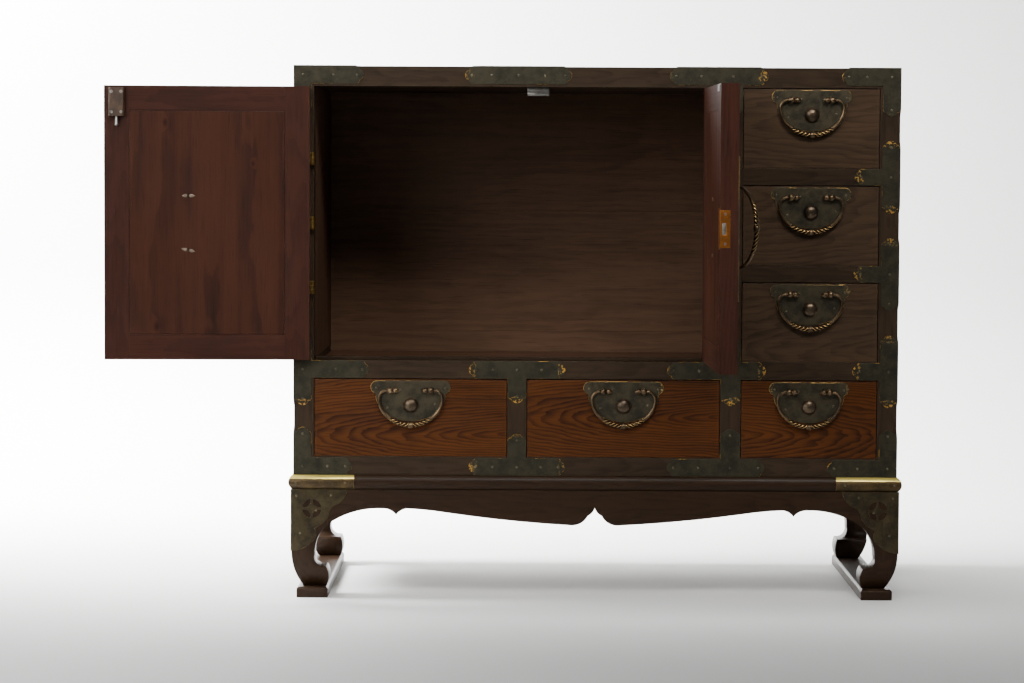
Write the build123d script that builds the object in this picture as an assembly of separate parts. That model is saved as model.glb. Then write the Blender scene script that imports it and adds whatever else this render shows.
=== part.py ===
from build123d import *
from math import atan2, cos, degrees, radians, sin
import os

# A Korean low cabinet on a stand: a tier with two doors over a tier of drawers, a column of
# drawers on the right, cast pulls, sheet metal mounts, and cabriole legs on foot rails.
# All lengths are millimetres. X runs to the right, Y to the back and Z up. The origin is on
# the floor under the middle of the case. Doors are built shut and then turned about their pins.

# ---------------------------------------------------------------- driving dimensions
# Case
case_width = 1000.0
case_depth = 460.0
case_height = 677.0
stand_height = 205.0
top_thickness = 33.0
post_width = 33.0
post_depth = 33.0
divider_width = 34.0
centre_post_width = 32.0
door_opening_width = 674.0
bottom_rail_height = 31.0
lower_tier_height = 130.0
middle_rail_height = 30.0
drawer_rail_height = 28.0
column_drawers = 3
runner_height = 11.0
board_thickness = 12.0
side_panel_thickness = 10.0
back_board_thickness = 10.0
back_recess = 2.0
back_board_count = 3
rebate = 6.0
post_tenon_length = 12.0
top_tenon_offset = 4.0
tenon_length = 22.0
side_tenon_length = 10.0
tenon_thickness = 10.0
tenon_shoulder = 5.0
side_tenon_shoulder = 7.0
fit = 0.1
over = 1.0
guide_height = 20.0
ledge_width = 12.0

# Drawers
drawer_side_gap = 1.0
drawer_top_gap = 1.5
drawer_floor_gap = 0.3
drawer_inset = 0.5
drawer_front_thickness = 18.0
drawer_side_thickness = 9.0
drawer_lap = 8.0
drawer_bottom_thickness = 5.0
drawer_bottom_rise = 5.0
drawer_groove = 3.0
drawer_side_drop = 4.0
drawer_back_gap = 13.0
finger_count = 5

# Doors
door_thickness = 28.6
door_side_gap = 1.0
door_meeting_gap = 1.5
door_top_gap = 2.0
door_bottom_gap = 2.5
door_frame_width = 41.0
door_tenon_length = 30.0
door_tongue = 7.0
door_tongue_thickness = 8.0
panel_gap = 0.4
stop_height = 4.5
stop_width = 8.0
stop_gap = 0.3
left_door_angle = 177.0
right_door_angle = 91.0

# Hinges
hinge_height = 34.0
hinge_length = 21.0
hinge_leaf_thickness = 1.5
hinge_barrel_radius = 5.5
hinge_pin_radius = 1.7
hinge_pin_forward = 5.8
hinge_pin_aside = 3.75
hinge_leaf_reach = 24.0
hinge_knuckle_gap = 0.3
hinge_count = 3
hinge_end_distance = 118.0
pin_fit = 0.05

# Pulls
plate_thickness = 1.5
post_radius = 5.5
post_length = 11.0
post_shank_width = 4.0
post_sides = 8
post_chamfer = 1.5
prong_length = 11.0
prong_thickness = 1.0
bail_rod_radius = 2.6
bail_sides = 6
bail_stand_off = 7.0
bail_corner_radius = 13.0
bail_side_radius = 38.0
bail_grip_angle = 72.0
bail_grip_radius = 3.9
bail_bead_radius = 5.1
bail_tip_length = 10.0
bail_tip_radius = 5.0
bail_tip_gap = 0.3
acorn_stations = ((0, 0.8), (0.2, 1), (0.6, 0.75), (1, 0.25))
boss_radius = 13.5
boss_height = 8.0
boss_rim = 1.6
boss_drop = 24.6
boss_bands = (0, 34, 62, 90)
drawer_plate_width = 133.0
drawer_plate_height = 68.0
drawer_plate_ear = 11.0
drawer_plate_top_gap = 2.0
drawer_pivot_drop = 16.2
drawer_post_spacing = 67.0
drawer_bail_width = 110.0
drawer_bail_depth = 61.4
door_plate_height = 222.0
door_plate_width = 162.0
door_plate_lobe = 34.0
door_post_spacing = 89.0
door_bail_width = 132.0
door_bail_depth = 73.0
door_pivot_from_edge = 137.0
door_bail_angle = 24.0

# Flush bolt, lock and catch
bolt_case_width = 25.0
bolt_case_height = 46.0
bolt_case_depth = 11.0
bolt_case_round = 2.75
bolt_set_back = 1.0
bolt_from_edge = 21.0
bolt_case_from_top = 4.0
bolt_radius = 2.6
bolt_tail = 16.0
bolt_throw = 12.0
bolt_hole_depth = 14.0
bolt_hole_fit = 1.0
bolt_knob_radius = 3.4
lock_plate_height = 58.0
lock_plate_width = 16.0
lock_plate_thickness = 1.6
lock_case_height = 64.0
lock_case_width = 32.0
lock_case_depth = 13.0
lock_bolt_height = 18.0
lock_bolt_thickness = 6.0
lock_bolt_throw = 8.0
lock_bolt_length = 26.0
lock_bolt_set_back = 0.5
lock_mortise_fit = 1.0
keyhole_radius = 4.0
keyhole_ward = 12.0
catch_width = 36.0
catch_height = 14.0
catch_depth = 22.0
catch_from_meeting = 33.0
catch_pole_thickness = 2.5
catch_pole_inset = 1.0
strike_thickness = 1.5
strike_height = 11.0
strike_inset = 1.0

# Sheet metal mounts
mount_thickness = 1.2
mount_width = 29.0
mount_margin = 1.0
mount_lobe = 12.0
mount_step_share = 0.62
mount_fold = 14.0
mount_side_arm = 62.0
post_leg = 60.0
corner_leg = 65.0
corner_arm_short = 82.0
corner_arm_long = 100.0
middle_arm_outer = 110.0
rail_arm = 60.0
strap_half_length = 88.0
centre_arm = 80.0
centre_leg = 55.0
divider_arm_left = 105.0
divider_arm_right = 58.0
divider_leg = 58.0

# Stand
stand_overhang = 4.0
moulding_height = 24.0
moulding_overhang = 4.0
moulding_width = 60.0
moulding_nose = 6.0
leg_width = 60.0
leg_ankle = 38.7
leg_sole_start = 19.3
leg_sole_end = 57.5
leg_toe = 61.6
leg_outer_bend = 60.0
leg_toe_rise = 34.0
leg_notch_rise = 54.0
apron_thickness = 22.0
apron_tenon = 12.0
apron_tenon_inset = 6.0
apron_tenon_rise = 12.0
apron_tenon_drop = 8.0
apron_shoulder_drop = 58.5
apron_spring_drop = 31.5
apron_cusp_drop = 42.0
apron_centre_drop = 29.0
apron_spring_reach = 92.0
apron_cusp_reach = 114.0
apron_cusp_width = 18.0
apron_turn = 0.24
apron_bows = (-0.083, -0.12, -0.1, -0.015, 0.011, 0.16, 0.115)
ogee_nib_reach = 0.27
ogee_nib_drop = 0.45
front_ogee_width = 42.0
front_ogee_drop = 58.0
side_share = 0.7
side_ogee_width = 26.0
side_ogee_drop = 45.0
foot_rail_width = 52.0
foot_rail_height = 18.0
foot_rail_inset = 8.7
foot_rail_chamfer = 3.0
cap_thickness = 1.0
cap_length = 108.0
leg_plate_width = 93.0
leg_plate_height = 103.0
coin_radius = 16.0
coin_leaf_angle = 37.0
coin_waist = 0.42
coin_inset = 34.0
coin_drop = 32.0

# ---------------------------------------------------------------- places that follow from them
left = -case_width / 2
right = case_width / 2
front = -case_depth / 2
back = case_depth / 2
case_bottom = stand_height
case_top = stand_height + case_height
top_under = case_top - top_thickness
inner_left = left + post_width
inner_right = right - post_width
post_back = front + post_depth
rear_post_front = back - post_depth
back_inner = back - back_recess - back_board_thickness
bottom_rail_top = case_bottom + bottom_rail_height
middle_rail_bottom = bottom_rail_top + lower_tier_height
middle_rail_top = middle_rail_bottom + middle_rail_height
floor_top = middle_rail_top - runner_height
divider_left = inner_left + door_opening_width
divider_right = divider_left + divider_width
divider_middle = divider_left + divider_width / 2
meeting_x = (inner_left + divider_left) / 2
centre_left = meeting_x - centre_post_width / 2
centre_right = meeting_x + centre_post_width / 2
column_clear = top_under - middle_rail_top - (column_drawers - 1) * drawer_rail_height
column_opening = column_clear / column_drawers
column_pitch = column_opening + drawer_rail_height
column_bases = [middle_rail_top + n * column_pitch for n in range(column_drawers)]
tenon_front = front + (post_depth - tenon_thickness) / 2
tenon_back = tenon_front + tenon_thickness
lap_plane = front + post_depth / 2
door_bottom = middle_rail_top + door_bottom_gap
door_top = top_under - door_top_gap
door_height = door_top - door_bottom
door_middle = (door_bottom + door_top) / 2
door_width = (door_opening_width - door_meeting_gap) / 2 - door_side_gap
door_inner = front + door_thickness
pin_y = front - hinge_pin_forward
left_pin_x = inner_left + door_side_gap - hinge_pin_aside
right_pin_x = divider_left - door_side_gap + hinge_pin_aside
stand_half_width = case_width / 2 + stand_overhang
stand_half_depth = case_depth / 2 + stand_overhang
leg_top = stand_height - moulding_height

FRONT = Plane(origin=(0, 0, 0), x_dir=(1, 0, 0), z_dir=(0, -1, 0))
SIDE = Plane(origin=(0, 0, 0), x_dir=(0, 1, 0), z_dir=(1, 0, 0))


# ---------------------------------------------------------------- helpers
def block(x0, x1, y0, y1, z0, z1):
    """A board or bar between two opposite corners."""
    middle = Pos((x0 + x1) / 2, (y0 + y1) / 2, (z0 + z1) / 2)
    return middle * Box(x1 - x0, y1 - y0, z1 - z0)


def cavity(x0, x1, y0, y1, z0, z1):
    """The mortise or groove for a block of these corners, with the joint's clearance."""
    return block(x0 - fit, x1 + fit, y0 - fit, y1 + fit, z0 - fit, z1 + fit)


def front_slab(outline, y, thickness):
    """An outline in x and z that stands on the plane at y and grows to the front."""
    return extrude(FRONT.offset(-y) * outline, thickness)


def side_slab(outline, x, thickness):
    """An outline in y and z that stands on the plane at x and grows to the right."""
    return extrude(SIDE.offset(x) * outline, thickness)


def rod_y(radius, y0, y1, x=0.0, z=0.0):
    """A round bar along Y."""
    return Pos(x, (y0 + y1) / 2, z) * Rot(90, 0, 0) * Cylinder(radius, y1 - y0)


def rod_z(radius, z0, z1, x=0.0, y=0.0):
    """A round bar along Z."""
    return Pos(x, y, (z0 + z1) / 2) * Cylinder(radius, z1 - z0)


def turned(shape, pin_x, angle):
    """A door piece turned about a vertical pin."""
    return shape.rotate(Axis((pin_x, pin_y, 0), (0, 0, 1)), angle)


def both_sides(shape):
    """A piece and its mirror image across the middle of the case."""
    return [shape, mirror(shape, about=Plane.YZ)]


# ---------------------------------------------------------------- carcass frame
def rail_tenons(x0, x1, z0, z1):
    """The corners of the two end tenons of a front rail."""
    depth = (tenon_front, tenon_back, z0 + tenon_shoulder, z1 - tenon_shoulder)
    return [(x0 - tenon_length, x0, *depth), (x1, x1 + tenon_length, *depth)]


def post_tenons(x0, x1, z0, z1):
    """The corners of the two end tenons of an upright between rails."""
    depth = (x0 + tenon_shoulder, x1 - tenon_shoulder, tenon_front, tenon_back)
    return [(*depth, z0 - post_tenon_length, z0), (*depth, z1, z1 + post_tenon_length)]


def side_rail_tenons(z0, z1):
    """The corners of the end tenons of a right side rail, clear of the panel rebates."""
    x0 = right - post_width / 2
    height = (z0 + side_tenon_shoulder, z1 - side_tenon_shoulder)
    return [
        (x0, x0 + tenon_thickness, post_back - side_tenon_length, post_back, *height),
        (x0, x0 + tenon_thickness, rear_post_front, rear_post_front + side_tenon_length, *height),
    ]


long_rails = [
    (inner_left, inner_right, case_bottom, bottom_rail_top),
    (inner_left, inner_right, middle_rail_bottom, middle_rail_top),
]
column_rails = [
    (divider_right, inner_right, base - drawer_rail_height, base) for base in column_bases[1:]
]
front_mortises = [corners for rail in long_rails + column_rails for corners in rail_tenons(*rail)]
side_rail_heights = [(case_bottom, bottom_rail_top), (middle_rail_bottom, middle_rail_top)]
panel_heights = [(bottom_rail_top, middle_rail_bottom), (middle_rail_top, top_under)]
centre_post_tenons = post_tenons(centre_left, centre_right, bottom_rail_top, middle_rail_bottom)
divider_tenons = post_tenons(divider_left, divider_right, bottom_rail_top, top_under)
panel_outer = inner_right + side_panel_thickness


def panel_corners(z0, z1):
    """The corners of a right side panel, let into the frame all round."""
    ends = (post_back - rebate, rear_post_front + rebate)
    return (inner_right, panel_outer, *ends, z0 - rebate, z1 + rebate)


def top_board():
    """The top plank, grooved below for panels, partition and back, and bored for the bolt."""
    board = block(left, right, front, back, top_under, case_top)
    groove_ends = (post_back - rebate, rear_post_front + rebate)
    for side in (-1, 1):
        x0, x1 = sorted((side * inner_right, side * panel_outer))
        board -= cavity(x0, x1, *groove_ends, top_under, top_under + rebate)
    board -= cavity(
        divider_left, divider_left + board_thickness, post_back, back_inner,
        top_under, top_under + rebate,
    )
    rear_rebate = (-panel_outer, panel_outer, back_inner, back)
    board -= cavity(*rear_rebate, top_under, top_under + rebate)
    for corners in corner_post_tenons() + divider_tenons[1:]:
        board -= cavity(*corners)
    bolt_y = door_inner + bolt_case_depth / 2
    bolt_x = meeting_x - door_meeting_gap / 2 - bolt_from_edge
    bore = rod_z(bolt_radius + bolt_hole_fit, top_under - over, top_under + bolt_hole_depth, bolt_x, bolt_y)
    return [board - bore]


def corner_post_tenons():
    """The corners of the tenons that the corner posts push up into the top board."""
    inset = (post_width - tenon_thickness) / 2 + top_tenon_offset
    tenons = []
    for side in (-1, 1):
        x0, x1 = sorted((side * (right - inset), side * (right - inset + tenon_thickness)))
        for y0 in (tenon_front, rear_post_front + (post_depth - tenon_thickness) / 2):
            top = top_under + post_tenon_length
            tenons.append((x0, x1, y0, y0 + tenon_thickness, top_under, top))
    return tenons


def corner_posts():
    """Four posts with mortises for the rails and rebates for the side panels and the back."""
    tenons = corner_post_tenons()
    posts = []
    for side in (-1, 1):
        for y0, y1 in ((front, post_back), (rear_post_front, back)):
            x0, x1 = sorted((side * inner_right, side * right))
            post = block(x0, x1, y0, y1, case_bottom, top_under)
            for corners in front_mortises:
                post -= cavity(*corners)
            rebate_x = sorted((side * (inner_right - over), side * panel_outer))
            rebate_y = (post_back - rebate, rear_post_front + rebate)
            post -= block(*rebate_x, *rebate_y, bottom_rail_top - rebate, top_under)
            post -= block(*rebate_x, back_inner, back + over, case_bottom - over, top_under + over)
            for height in side_rail_heights:
                for corners in side_rail_tenons(*height):
                    cut_x = sorted((side * corners[0], side * corners[1]))
                    post -= cavity(*cut_x, *corners[2:])
            own = [c for c in tenons if x0 < c[0] < x1 and y0 < c[2] < y1]
            posts.append(post + block(*own[0]))
    return posts


def divider_posts():
    """The full-height divider, halved over the middle rail, and the short centre post."""
    divider = block(divider_left, divider_right, front, post_back, bottom_rail_top, top_under)
    divider += [block(*corners) for corners in divider_tenons]
    divider -= block(
        divider_left, divider_right, lap_plane, post_back + over,
        middle_rail_bottom, middle_rail_top,
    )
    for rail in column_rails:
        divider -= cavity(*rail_tenons(*rail)[0])
    centre = block(centre_left, centre_right, front, post_back, bottom_rail_top, middle_rail_bottom)
    centre += [block(*corners) for corners in centre_post_tenons]
    return [divider, centre]


def front_rails():
    """The bottom and middle rails over the full width and the rails of the drawer column."""
    rails = []
    for rail in long_rails + column_rails:
        x0, x1, z0, z1 = rail
        bar = block(x0, x1, front, post_back, z0, z1)
        rails.append(bar + [block(*corners) for corners in rail_tenons(*rail)])
    boards = (bottom_rail_top - board_thickness, floor_top - board_thickness)
    for n, z0 in enumerate(boards):
        groove = (inner_left, inner_right, post_back - rebate, post_back, z0, z0 + board_thickness)
        rails[n] -= cavity(*groove)
    rails[0] -= [cavity(*divider_tenons[0]), cavity(*centre_post_tenons[0])]
    rails[1] -= cavity(*centre_post_tenons[1])
    rails[1] -= block(
        divider_left, divider_right, front - over, lap_plane,
        middle_rail_bottom, middle_rail_top,
    )
    return rails


def side_rails():
    """Bottom and middle rails of the two sides, rebated inside for the panels."""
    rails = []
    for z0, z1 in side_rail_heights:
        rail = block(inner_right, right, post_back, rear_post_front, z0, z1)
        rail += [block(*corners) for corners in side_rail_tenons(z0, z1)]
        for height in panel_heights:
            rail -= block(*panel_corners(*height))
        rails += both_sides(rail)
    return rails


def side_panels():
    """Two panels a side, flush with the posts inside and set back outside."""
    panels = []
    for height in panel_heights:
        panels += both_sides(block(*panel_corners(*height)))
    return panels


def back_boards():
    """Horizontal boards in the rebates of the rear posts and the top board."""
    height = (top_under + rebate - case_bottom) / back_board_count
    depth = (back_inner, back_inner + back_board_thickness)
    bases = [case_bottom + n * height for n in range(back_board_count)]
    return [block(-panel_outer, panel_outer, *depth, z0, z0 + height) for z0 in bases]


def tier_board(z_top):
    """A board across the case, tongued into the front rail at its front edge."""
    z0 = z_top - board_thickness
    return block(inner_left, inner_right, post_back - rebate, back_inner, z0, z_top)


def partition_wall():
    """The wall between the door compartment and the drawer column."""
    depth = (post_back, back_inner)
    return block(
        divider_left, divider_left + board_thickness, *depth, floor_top, top_under + rebate
    )


def drawer_runners():
    """A guided ledge and a plain ledge for each column drawer, and the lower drawers' guides."""
    wall = divider_left + board_thickness
    ledge_end = divider_right + ledge_width
    guide_end = divider_right
    runners = []
    for base in column_bases:
        bottom = base - runner_height
        guided = Polyline(
            (wall, bottom), (ledge_end, bottom), (ledge_end, base), (guide_end, base),
            (guide_end, base + guide_height), (wall, base + guide_height), close=True,
        )
        run = back_inner - post_back
        runners.append(front_slab(make_face(guided), back_inner, run))
        ledge = (inner_right - ledge_width, inner_right, post_back, back_inner)
        runners.append(block(*ledge, bottom, base))
    for x0, x1 in ((centre_left, centre_right), (divider_left, divider_right)):
        guide = (x0, x1, post_back, back_inner)
        runners.append(block(*guide, bottom_rail_top, bottom_rail_top + guide_height))
    return runners


def door_stop():
    """The strip behind the middle rail that the shut doors rest against."""
    face = door_inner + stop_gap
    profile = Polyline(
        (face, middle_rail_top), (post_back, middle_rail_top), (post_back, floor_top),
        (post_back + stop_width, floor_top), (post_back + stop_width, middle_rail_top + stop_height),
        (face, middle_rail_top + stop_height), close=True,
    )
    return side_slab(make_face(profile), inner_left, door_opening_width)


# ---------------------------------------------------------------- pulls
def ear_and_bowl_outline(width, height, ear):
    """A pull plate: straight top, a round ear at each end and a bowl below; z = 0 is its top."""
    half = width / 2
    neck = half - 0.75 * ear
    rim = -2 * ear
    edges = [Line((ear - half, 0), (half - ear, 0))]
    for side in (-1, 1):
        edges.append(
            ThreePointArc((side * (half - ear), 0), (side * half, -ear), (side * neck, rim))
        )
    edges.append(EllipticalCenterArc((0, rim), neck, height + rim, 180, arc_size=180))
    return make_face(edges)


def shank_corners(x, y0, y1, z):
    """The corners of the strip shank of a stud that runs through wood and plate."""
    half = post_shank_width / 2
    return (x - half, x + half, y0, y1, z - half, z + half)


def bail_post(x, wood, upright):
    """A stud bored for the bail, with a strip shank through the wood and two clenched prongs."""
    head = extrude(
        FRONT.offset(plate_thickness) * Pos(x, 0) * RegularPolygon(post_radius, post_sides),
        post_length,
    )
    head = chamfer(head.faces().sort_by(Axis.Y)[0].edges(), post_chamfer)
    bore = Cylinder(bail_rod_radius + fit, 3 * post_radius)
    head -= Pos(x, -bail_stand_off, 0) * Rot(0, 90, 0) * bore
    half = post_shank_width / 2
    reach, rise = (half, prong_length) if upright else (prong_length, half)
    prongs = block(x - reach, x + reach, wood, wood + prong_thickness, -rise, rise)
    return head + block(*shank_corners(x, -plate_thickness, wood, 0)) + prongs


def boss(drop):
    """The round boss in the middle of a pull plate, domed in three bevelled bands."""
    rise = boss_height - boss_rim
    rings = [
        (boss_radius * cos(radians(turn)), boss_rim + rise * sin(radians(turn)))
        for turn in boss_bands
    ]
    section = make_face(Polyline((0, 0), (boss_radius, 0), *rings, close=True))
    return Pos(0, -plate_thickness, -drop) * Rot(180, 0, 0) * revolve(section, Axis.Y)


def ring_piece(radius, ring_radius, centre_z, centre_x, start, sweep_angle):
    """Part of a ring of bar in the plane of x and z, from one angle over another."""
    section = Plane(origin=(ring_radius, 0, 0), x_dir=(1, 0, 0), z_dir=(0, 0, 1)) * Rot(
        0, 0, 180 / bail_sides
    ) * RegularPolygon(radius, bail_sides)
    ring = revolve(section, Axis((0, 0, 0), (0, -1, 0)), sweep_angle)
    return Pos(centre_x, 0, centre_z) * Rot(0, -start, 0) * ring


def turned_knob(*stations):
    """A faceted knob along X, given as stations of place and radius."""
    turns = [radians(360 * n / bail_sides) for n in range(bail_sides)]
    rings = [[(x, r * cos(turn), r * sin(turn)) for turn in turns] for x, r in stations]
    corners = [rings[0], rings[-1]]
    for low, high in zip(rings, rings[1:]):
        corners += [(low[n - 1], low[n], high[n], high[n - 1]) for n in range(bail_sides)]
    faces = [make_face(Polyline(*ring, close=True)).face() for ring in corners]
    return Solid(Shell(faces))


def bail(post_spacing, width, depth):
    """A swinging handle: rod through both studs, acorn tips inside, sides, and a grip below."""
    reach = width / 2 - bail_rod_radius
    tip = post_spacing / 2 - post_radius - bail_tip_gap
    corner = reach - bail_corner_radius
    drop = -bail_corner_radius
    side_x = reach - bail_side_radius
    low = depth - bail_grip_radius - bail_corner_radius
    spare = low - bail_side_radius
    grip_z = (side_x**2 - spare**2) / (2 * spare)
    grip_arc = low + grip_z
    half_low = degrees(atan2(side_x, grip_z))
    acorn = turned_knob(*[
        (tip - bail_tip_length * along, bail_tip_radius * wide) for along, wide in acorn_stations
    ])
    shank = Pos((tip + corner) / 2, 0, 0) * Rot(0, 90, 0) * Cylinder(bail_rod_radius, corner - tip)
    bend = ring_piece(bail_rod_radius, bail_corner_radius, drop, corner, 0, 90)
    arm = ring_piece(
        bail_rod_radius, bail_side_radius, drop, side_x, 270 + half_low, 90 - half_low
    )
    lower = ring_piece(
        bail_rod_radius, grip_arc, drop + grip_z, 0,
        270 + bail_grip_angle / 2, half_low - bail_grip_angle / 2,
    )
    half = shank + bend + arm + lower + acorn
    grip = ring_piece(
        bail_grip_radius, grip_arc, drop + grip_z, 0,
        270 - bail_grip_angle / 2, bail_grip_angle,
    )
    bead = turned_knob(
        (-bail_bead_radius, bail_grip_radius), (0, bail_bead_radius),
        (bail_bead_radius, bail_grip_radius),
    )
    handle = grip + Pos(0, 0, drop - low) * bead + half + Rot(0, 0, 180) * half
    return Pos(0, -bail_stand_off, 0) * handle


def drawer_plate(wood):
    """A drawer's pull plate with its boss and studs, around the pivot of its bail."""
    outline = Pos(0, drawer_pivot_drop) * ear_and_bowl_outline(
        drawer_plate_width, drawer_plate_height, drawer_plate_ear
    )
    plate = front_slab(outline, 0, plate_thickness)
    posts = [bail_post(side * drawer_post_spacing / 2, wood, False) for side in (-1, 1)]
    for side in (-1, 1):
        plate -= block(*shank_corners(side * drawer_post_spacing / 2, -plate_thickness, 0, 0))
    return [plate, boss(boss_drop), *posts]


# ---------------------------------------------------------------- drawers
def drawer_openings():
    """Left, right and floor and clear height of each drawer's opening, by its number."""
    column = [(divider_right, inner_right, base, column_opening) for base in reversed(column_bases)]
    lower = [(x0, x1, bottom_rail_top, lower_tier_height) for x0, x1 in (
        (divider_right, inner_right), (inner_left, centre_left), (centre_right, divider_left),
    )]
    return dict(enumerate(column + lower, start=1))


def drawer(x0, x1, z0, height):
    """The front and the four boards of one drawer."""
    x0 += drawer_side_gap
    x1 -= drawer_side_gap
    z0 += drawer_floor_gap
    z1 = z0 + height - drawer_floor_gap - drawer_top_gap
    y0 = front + drawer_inset
    y1 = y0 + drawer_front_thickness
    side_front = y0 + drawer_lap
    y2 = back_inner - drawer_back_gap
    side_top = z1 - drawer_side_drop
    face = block(x0, x1, y0, y1, z0, z1)
    walls = [
        block(x0, x0 + drawer_side_thickness, side_front, y2, z0, side_top),
        block(x1 - drawer_side_thickness, x1, side_front, y2, z0, side_top),
    ]
    for wall in walls:
        face -= wall
    rear = block(x0, x1, y2 - drawer_side_thickness, y2, z0, side_top)
    finger = (side_top - z0) / finger_count
    for n in range(finger_count):
        band = (y2 - drawer_side_thickness, y2, z0 + n * finger, z0 + (n + 1) * finger)
        for side, (xa, xb) in enumerate(
            ((x0, x0 + drawer_side_thickness), (x1 - drawer_side_thickness, x1))
        ):
            if n % 2:
                rear -= block(xa, xb, *band)
            else:
                walls[side] -= block(xa, xb, *band)
    inner = drawer_side_thickness - drawer_groove
    base = z0 + drawer_bottom_rise
    floor_corners = (
        x0 + inner, x1 - inner, y1 - drawer_groove, y2 - inner, base, base + drawer_bottom_thickness
    )
    floor = block(*floor_corners)
    pieces = [piece - cavity(*floor_corners) for piece in (face, *walls, rear)]
    pivot_z = z1 - drawer_plate_top_gap - drawer_pivot_drop
    middle = (x0 + x1) / 2
    for side in (-1, 1):
        bore = shank_corners(middle + side * drawer_post_spacing / 2, y0, y1, pivot_z)
        pieces[0] -= cavity(*bore)
    place = Pos(middle, y0, pivot_z)
    plate = [place * piece for piece in drawer_plate(drawer_front_thickness)]
    handle = place * bail(drawer_post_spacing, drawer_bail_width, drawer_bail_depth)
    return {"front": pieces[:1], "box": [*pieces[1:], floor], "plate": plate, "bail": [handle]}


# ---------------------------------------------------------------- doors
def door_leaf(x0, x1):
    """Two stiles, two tenoned rails and a tongued panel, flush on both faces."""
    inner0 = x0 + door_frame_width
    inner1 = x1 - door_frame_width
    low = door_bottom + door_frame_width
    high = door_top - door_frame_width
    depth = (front, door_inner)
    middle = (front + door_inner) / 2
    thin = (middle - door_tongue_thickness / 2, middle + door_tongue_thickness / 2)
    tongue = (
        inner0 - door_tongue, inner1 + door_tongue, *thin, low - door_tongue, high + door_tongue
    )
    stiles = [
        block(x0, inner0, *depth, door_bottom, door_top),
        block(inner1, x1, *depth, door_bottom, door_top),
    ]
    rails = []
    inset = door_tongue + tenon_shoulder
    for z0, z1, outer, groove in (
        (door_bottom, low, tenon_shoulder, inset), (high, door_top, inset, tenon_shoulder),
    ):
        height = (z0 + outer, z1 - groove)
        tenon = (inner0 - door_tenon_length, inner1 + door_tenon_length, *thin, *height)
        rails.append(block(inner0, inner1, *depth, z0, z1) + block(*tenon) - cavity(*tongue))
        stiles = [stile - cavity(*tenon) for stile in stiles]
    stiles = [stile - cavity(*tongue) for stile in stiles]
    panel = block(
        inner0 + panel_gap, inner1 - panel_gap, *depth, low + panel_gap, high - panel_gap
    )
    return stiles, rails, panel + block(*tongue)


def door_plate_outline():
    """Half of a lobed plate: straight at the meeting edge, with three lobes away from it."""
    half = door_plate_height / 2
    shoulder = door_plate_width - door_plate_lobe
    foot = half - door_plate_lobe
    waist = foot * 0.62
    edges = [Line((0, -half), (0, half))]
    for side in (-1, 1):
        start = (0, side * half)
        first = (shoulder * 0.5, side * (half - door_plate_lobe * 0.35))
        second = (shoulder, side * waist)
        edges.append(ThreePointArc(start, (shoulder * 0.28, side * (half - 1)), first))
        edges.append(ThreePointArc(first, (shoulder * 0.86, side * foot * 1.05), second))
    edges.append(ThreePointArc((shoulder, -waist), (door_plate_width, 0), (shoulder, waist)))
    return make_face(edges)


def door_pull(edge_x, side):
    """A door's lobed plate and studs and its upright bail; side is where the hinge lies."""
    pivot_x = edge_x + side * door_pivot_from_edge
    outline = door_plate_outline()
    if side < 0:
        outline = mirror(outline, about=Plane.YZ)
    plate = front_slab(Pos(edge_x, door_middle) * outline, front, plate_thickness)
    place = Pos(pivot_x, front, door_middle) * Rot(0, 90 * side, 0)
    studs = [
        place * bail_post(end * door_post_spacing / 2, door_thickness, True) for end in (-1, 1)
    ]
    for end in (-1, 1):
        height = door_middle + end * door_post_spacing / 2
        plate -= block(*shank_corners(pivot_x, front - plate_thickness, front, height))
    handle = place * bail(door_post_spacing, door_bail_width, door_bail_depth)
    pivot = Axis((pivot_x, front - bail_stand_off, 0), (0, 0, 1))
    return plate, studs, handle.rotate(pivot, side * door_bail_angle)


def stud_bores(edge_x, side):
    """The bores of a door's two studs."""
    x = edge_x + side * door_pivot_from_edge
    heights = [door_middle + end * door_post_spacing / 2 for end in (-1, 1)]
    return [cavity(*shank_corners(x, front, door_inner, z)) for z in heights]


def hinge_heights():
    """The middle of each hinge of a door."""
    span = door_height - 2 * hinge_end_distance
    step = span / (hinge_count - 1)
    return [door_bottom + hinge_end_distance + n * step for n in range(hinge_count)]


def hinge_leaf_outline():
    """A hinge leaf from the pin to the right, flared like a swallow's tail with a middle point."""
    root = hinge_length / 2
    half = hinge_height / 2
    reach = hinge_leaf_reach
    upper = [(0, root), (reach * 0.35, root), (reach * 0.7, half), (reach * 0.8, half * 0.4)]
    lower = [(x, -z) for x, z in reversed(upper)]
    return make_face(Polyline(*upper, (reach, 0), *lower, close=True))


def hinge(pin_x, side, z):
    """The post leaf with two knuckles and the pin, and the door leaf with the middle one."""
    clear = hinge_pin_forward + hinge_knuckle_gap
    around = (pin_x - clear, pin_x + clear, pin_y - clear, front)
    knuckle = hinge_length / 6
    low = z - hinge_length / 2
    high = z + hinge_length / 2
    barrel = rod_z(hinge_barrel_radius, low, high, pin_x, pin_y)
    outline = hinge_leaf_outline()
    leaf_right = front_slab(Pos(pin_x, z) * outline, front, hinge_leaf_thickness)
    leaf_left = front_slab(
        Pos(pin_x, z) * mirror(outline, about=Plane.YZ), front, hinge_leaf_thickness
    )
    on_post, on_door = (leaf_left, leaf_right) if side > 0 else (leaf_right, leaf_left)
    post_leaf = on_post + barrel
    post_leaf -= block(*around, z - knuckle - hinge_knuckle_gap, z + knuckle + hinge_knuckle_gap)
    post_leaf += rod_z(hinge_pin_radius, low, high, pin_x, pin_y)
    strap_x = sorted((pin_x, pin_x + side * clear))
    strap = block(*strap_x, front - hinge_leaf_thickness, front, z - knuckle, z + knuckle)
    door_leaf = on_door - block(*around, z - hinge_height, z + hinge_height)
    door_leaf += strap + (barrel & block(*around, z - knuckle, z + knuckle))
    door_leaf -= rod_z(hinge_pin_radius + pin_fit, low, high, pin_x, pin_y)
    return post_leaf, door_leaf


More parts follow.
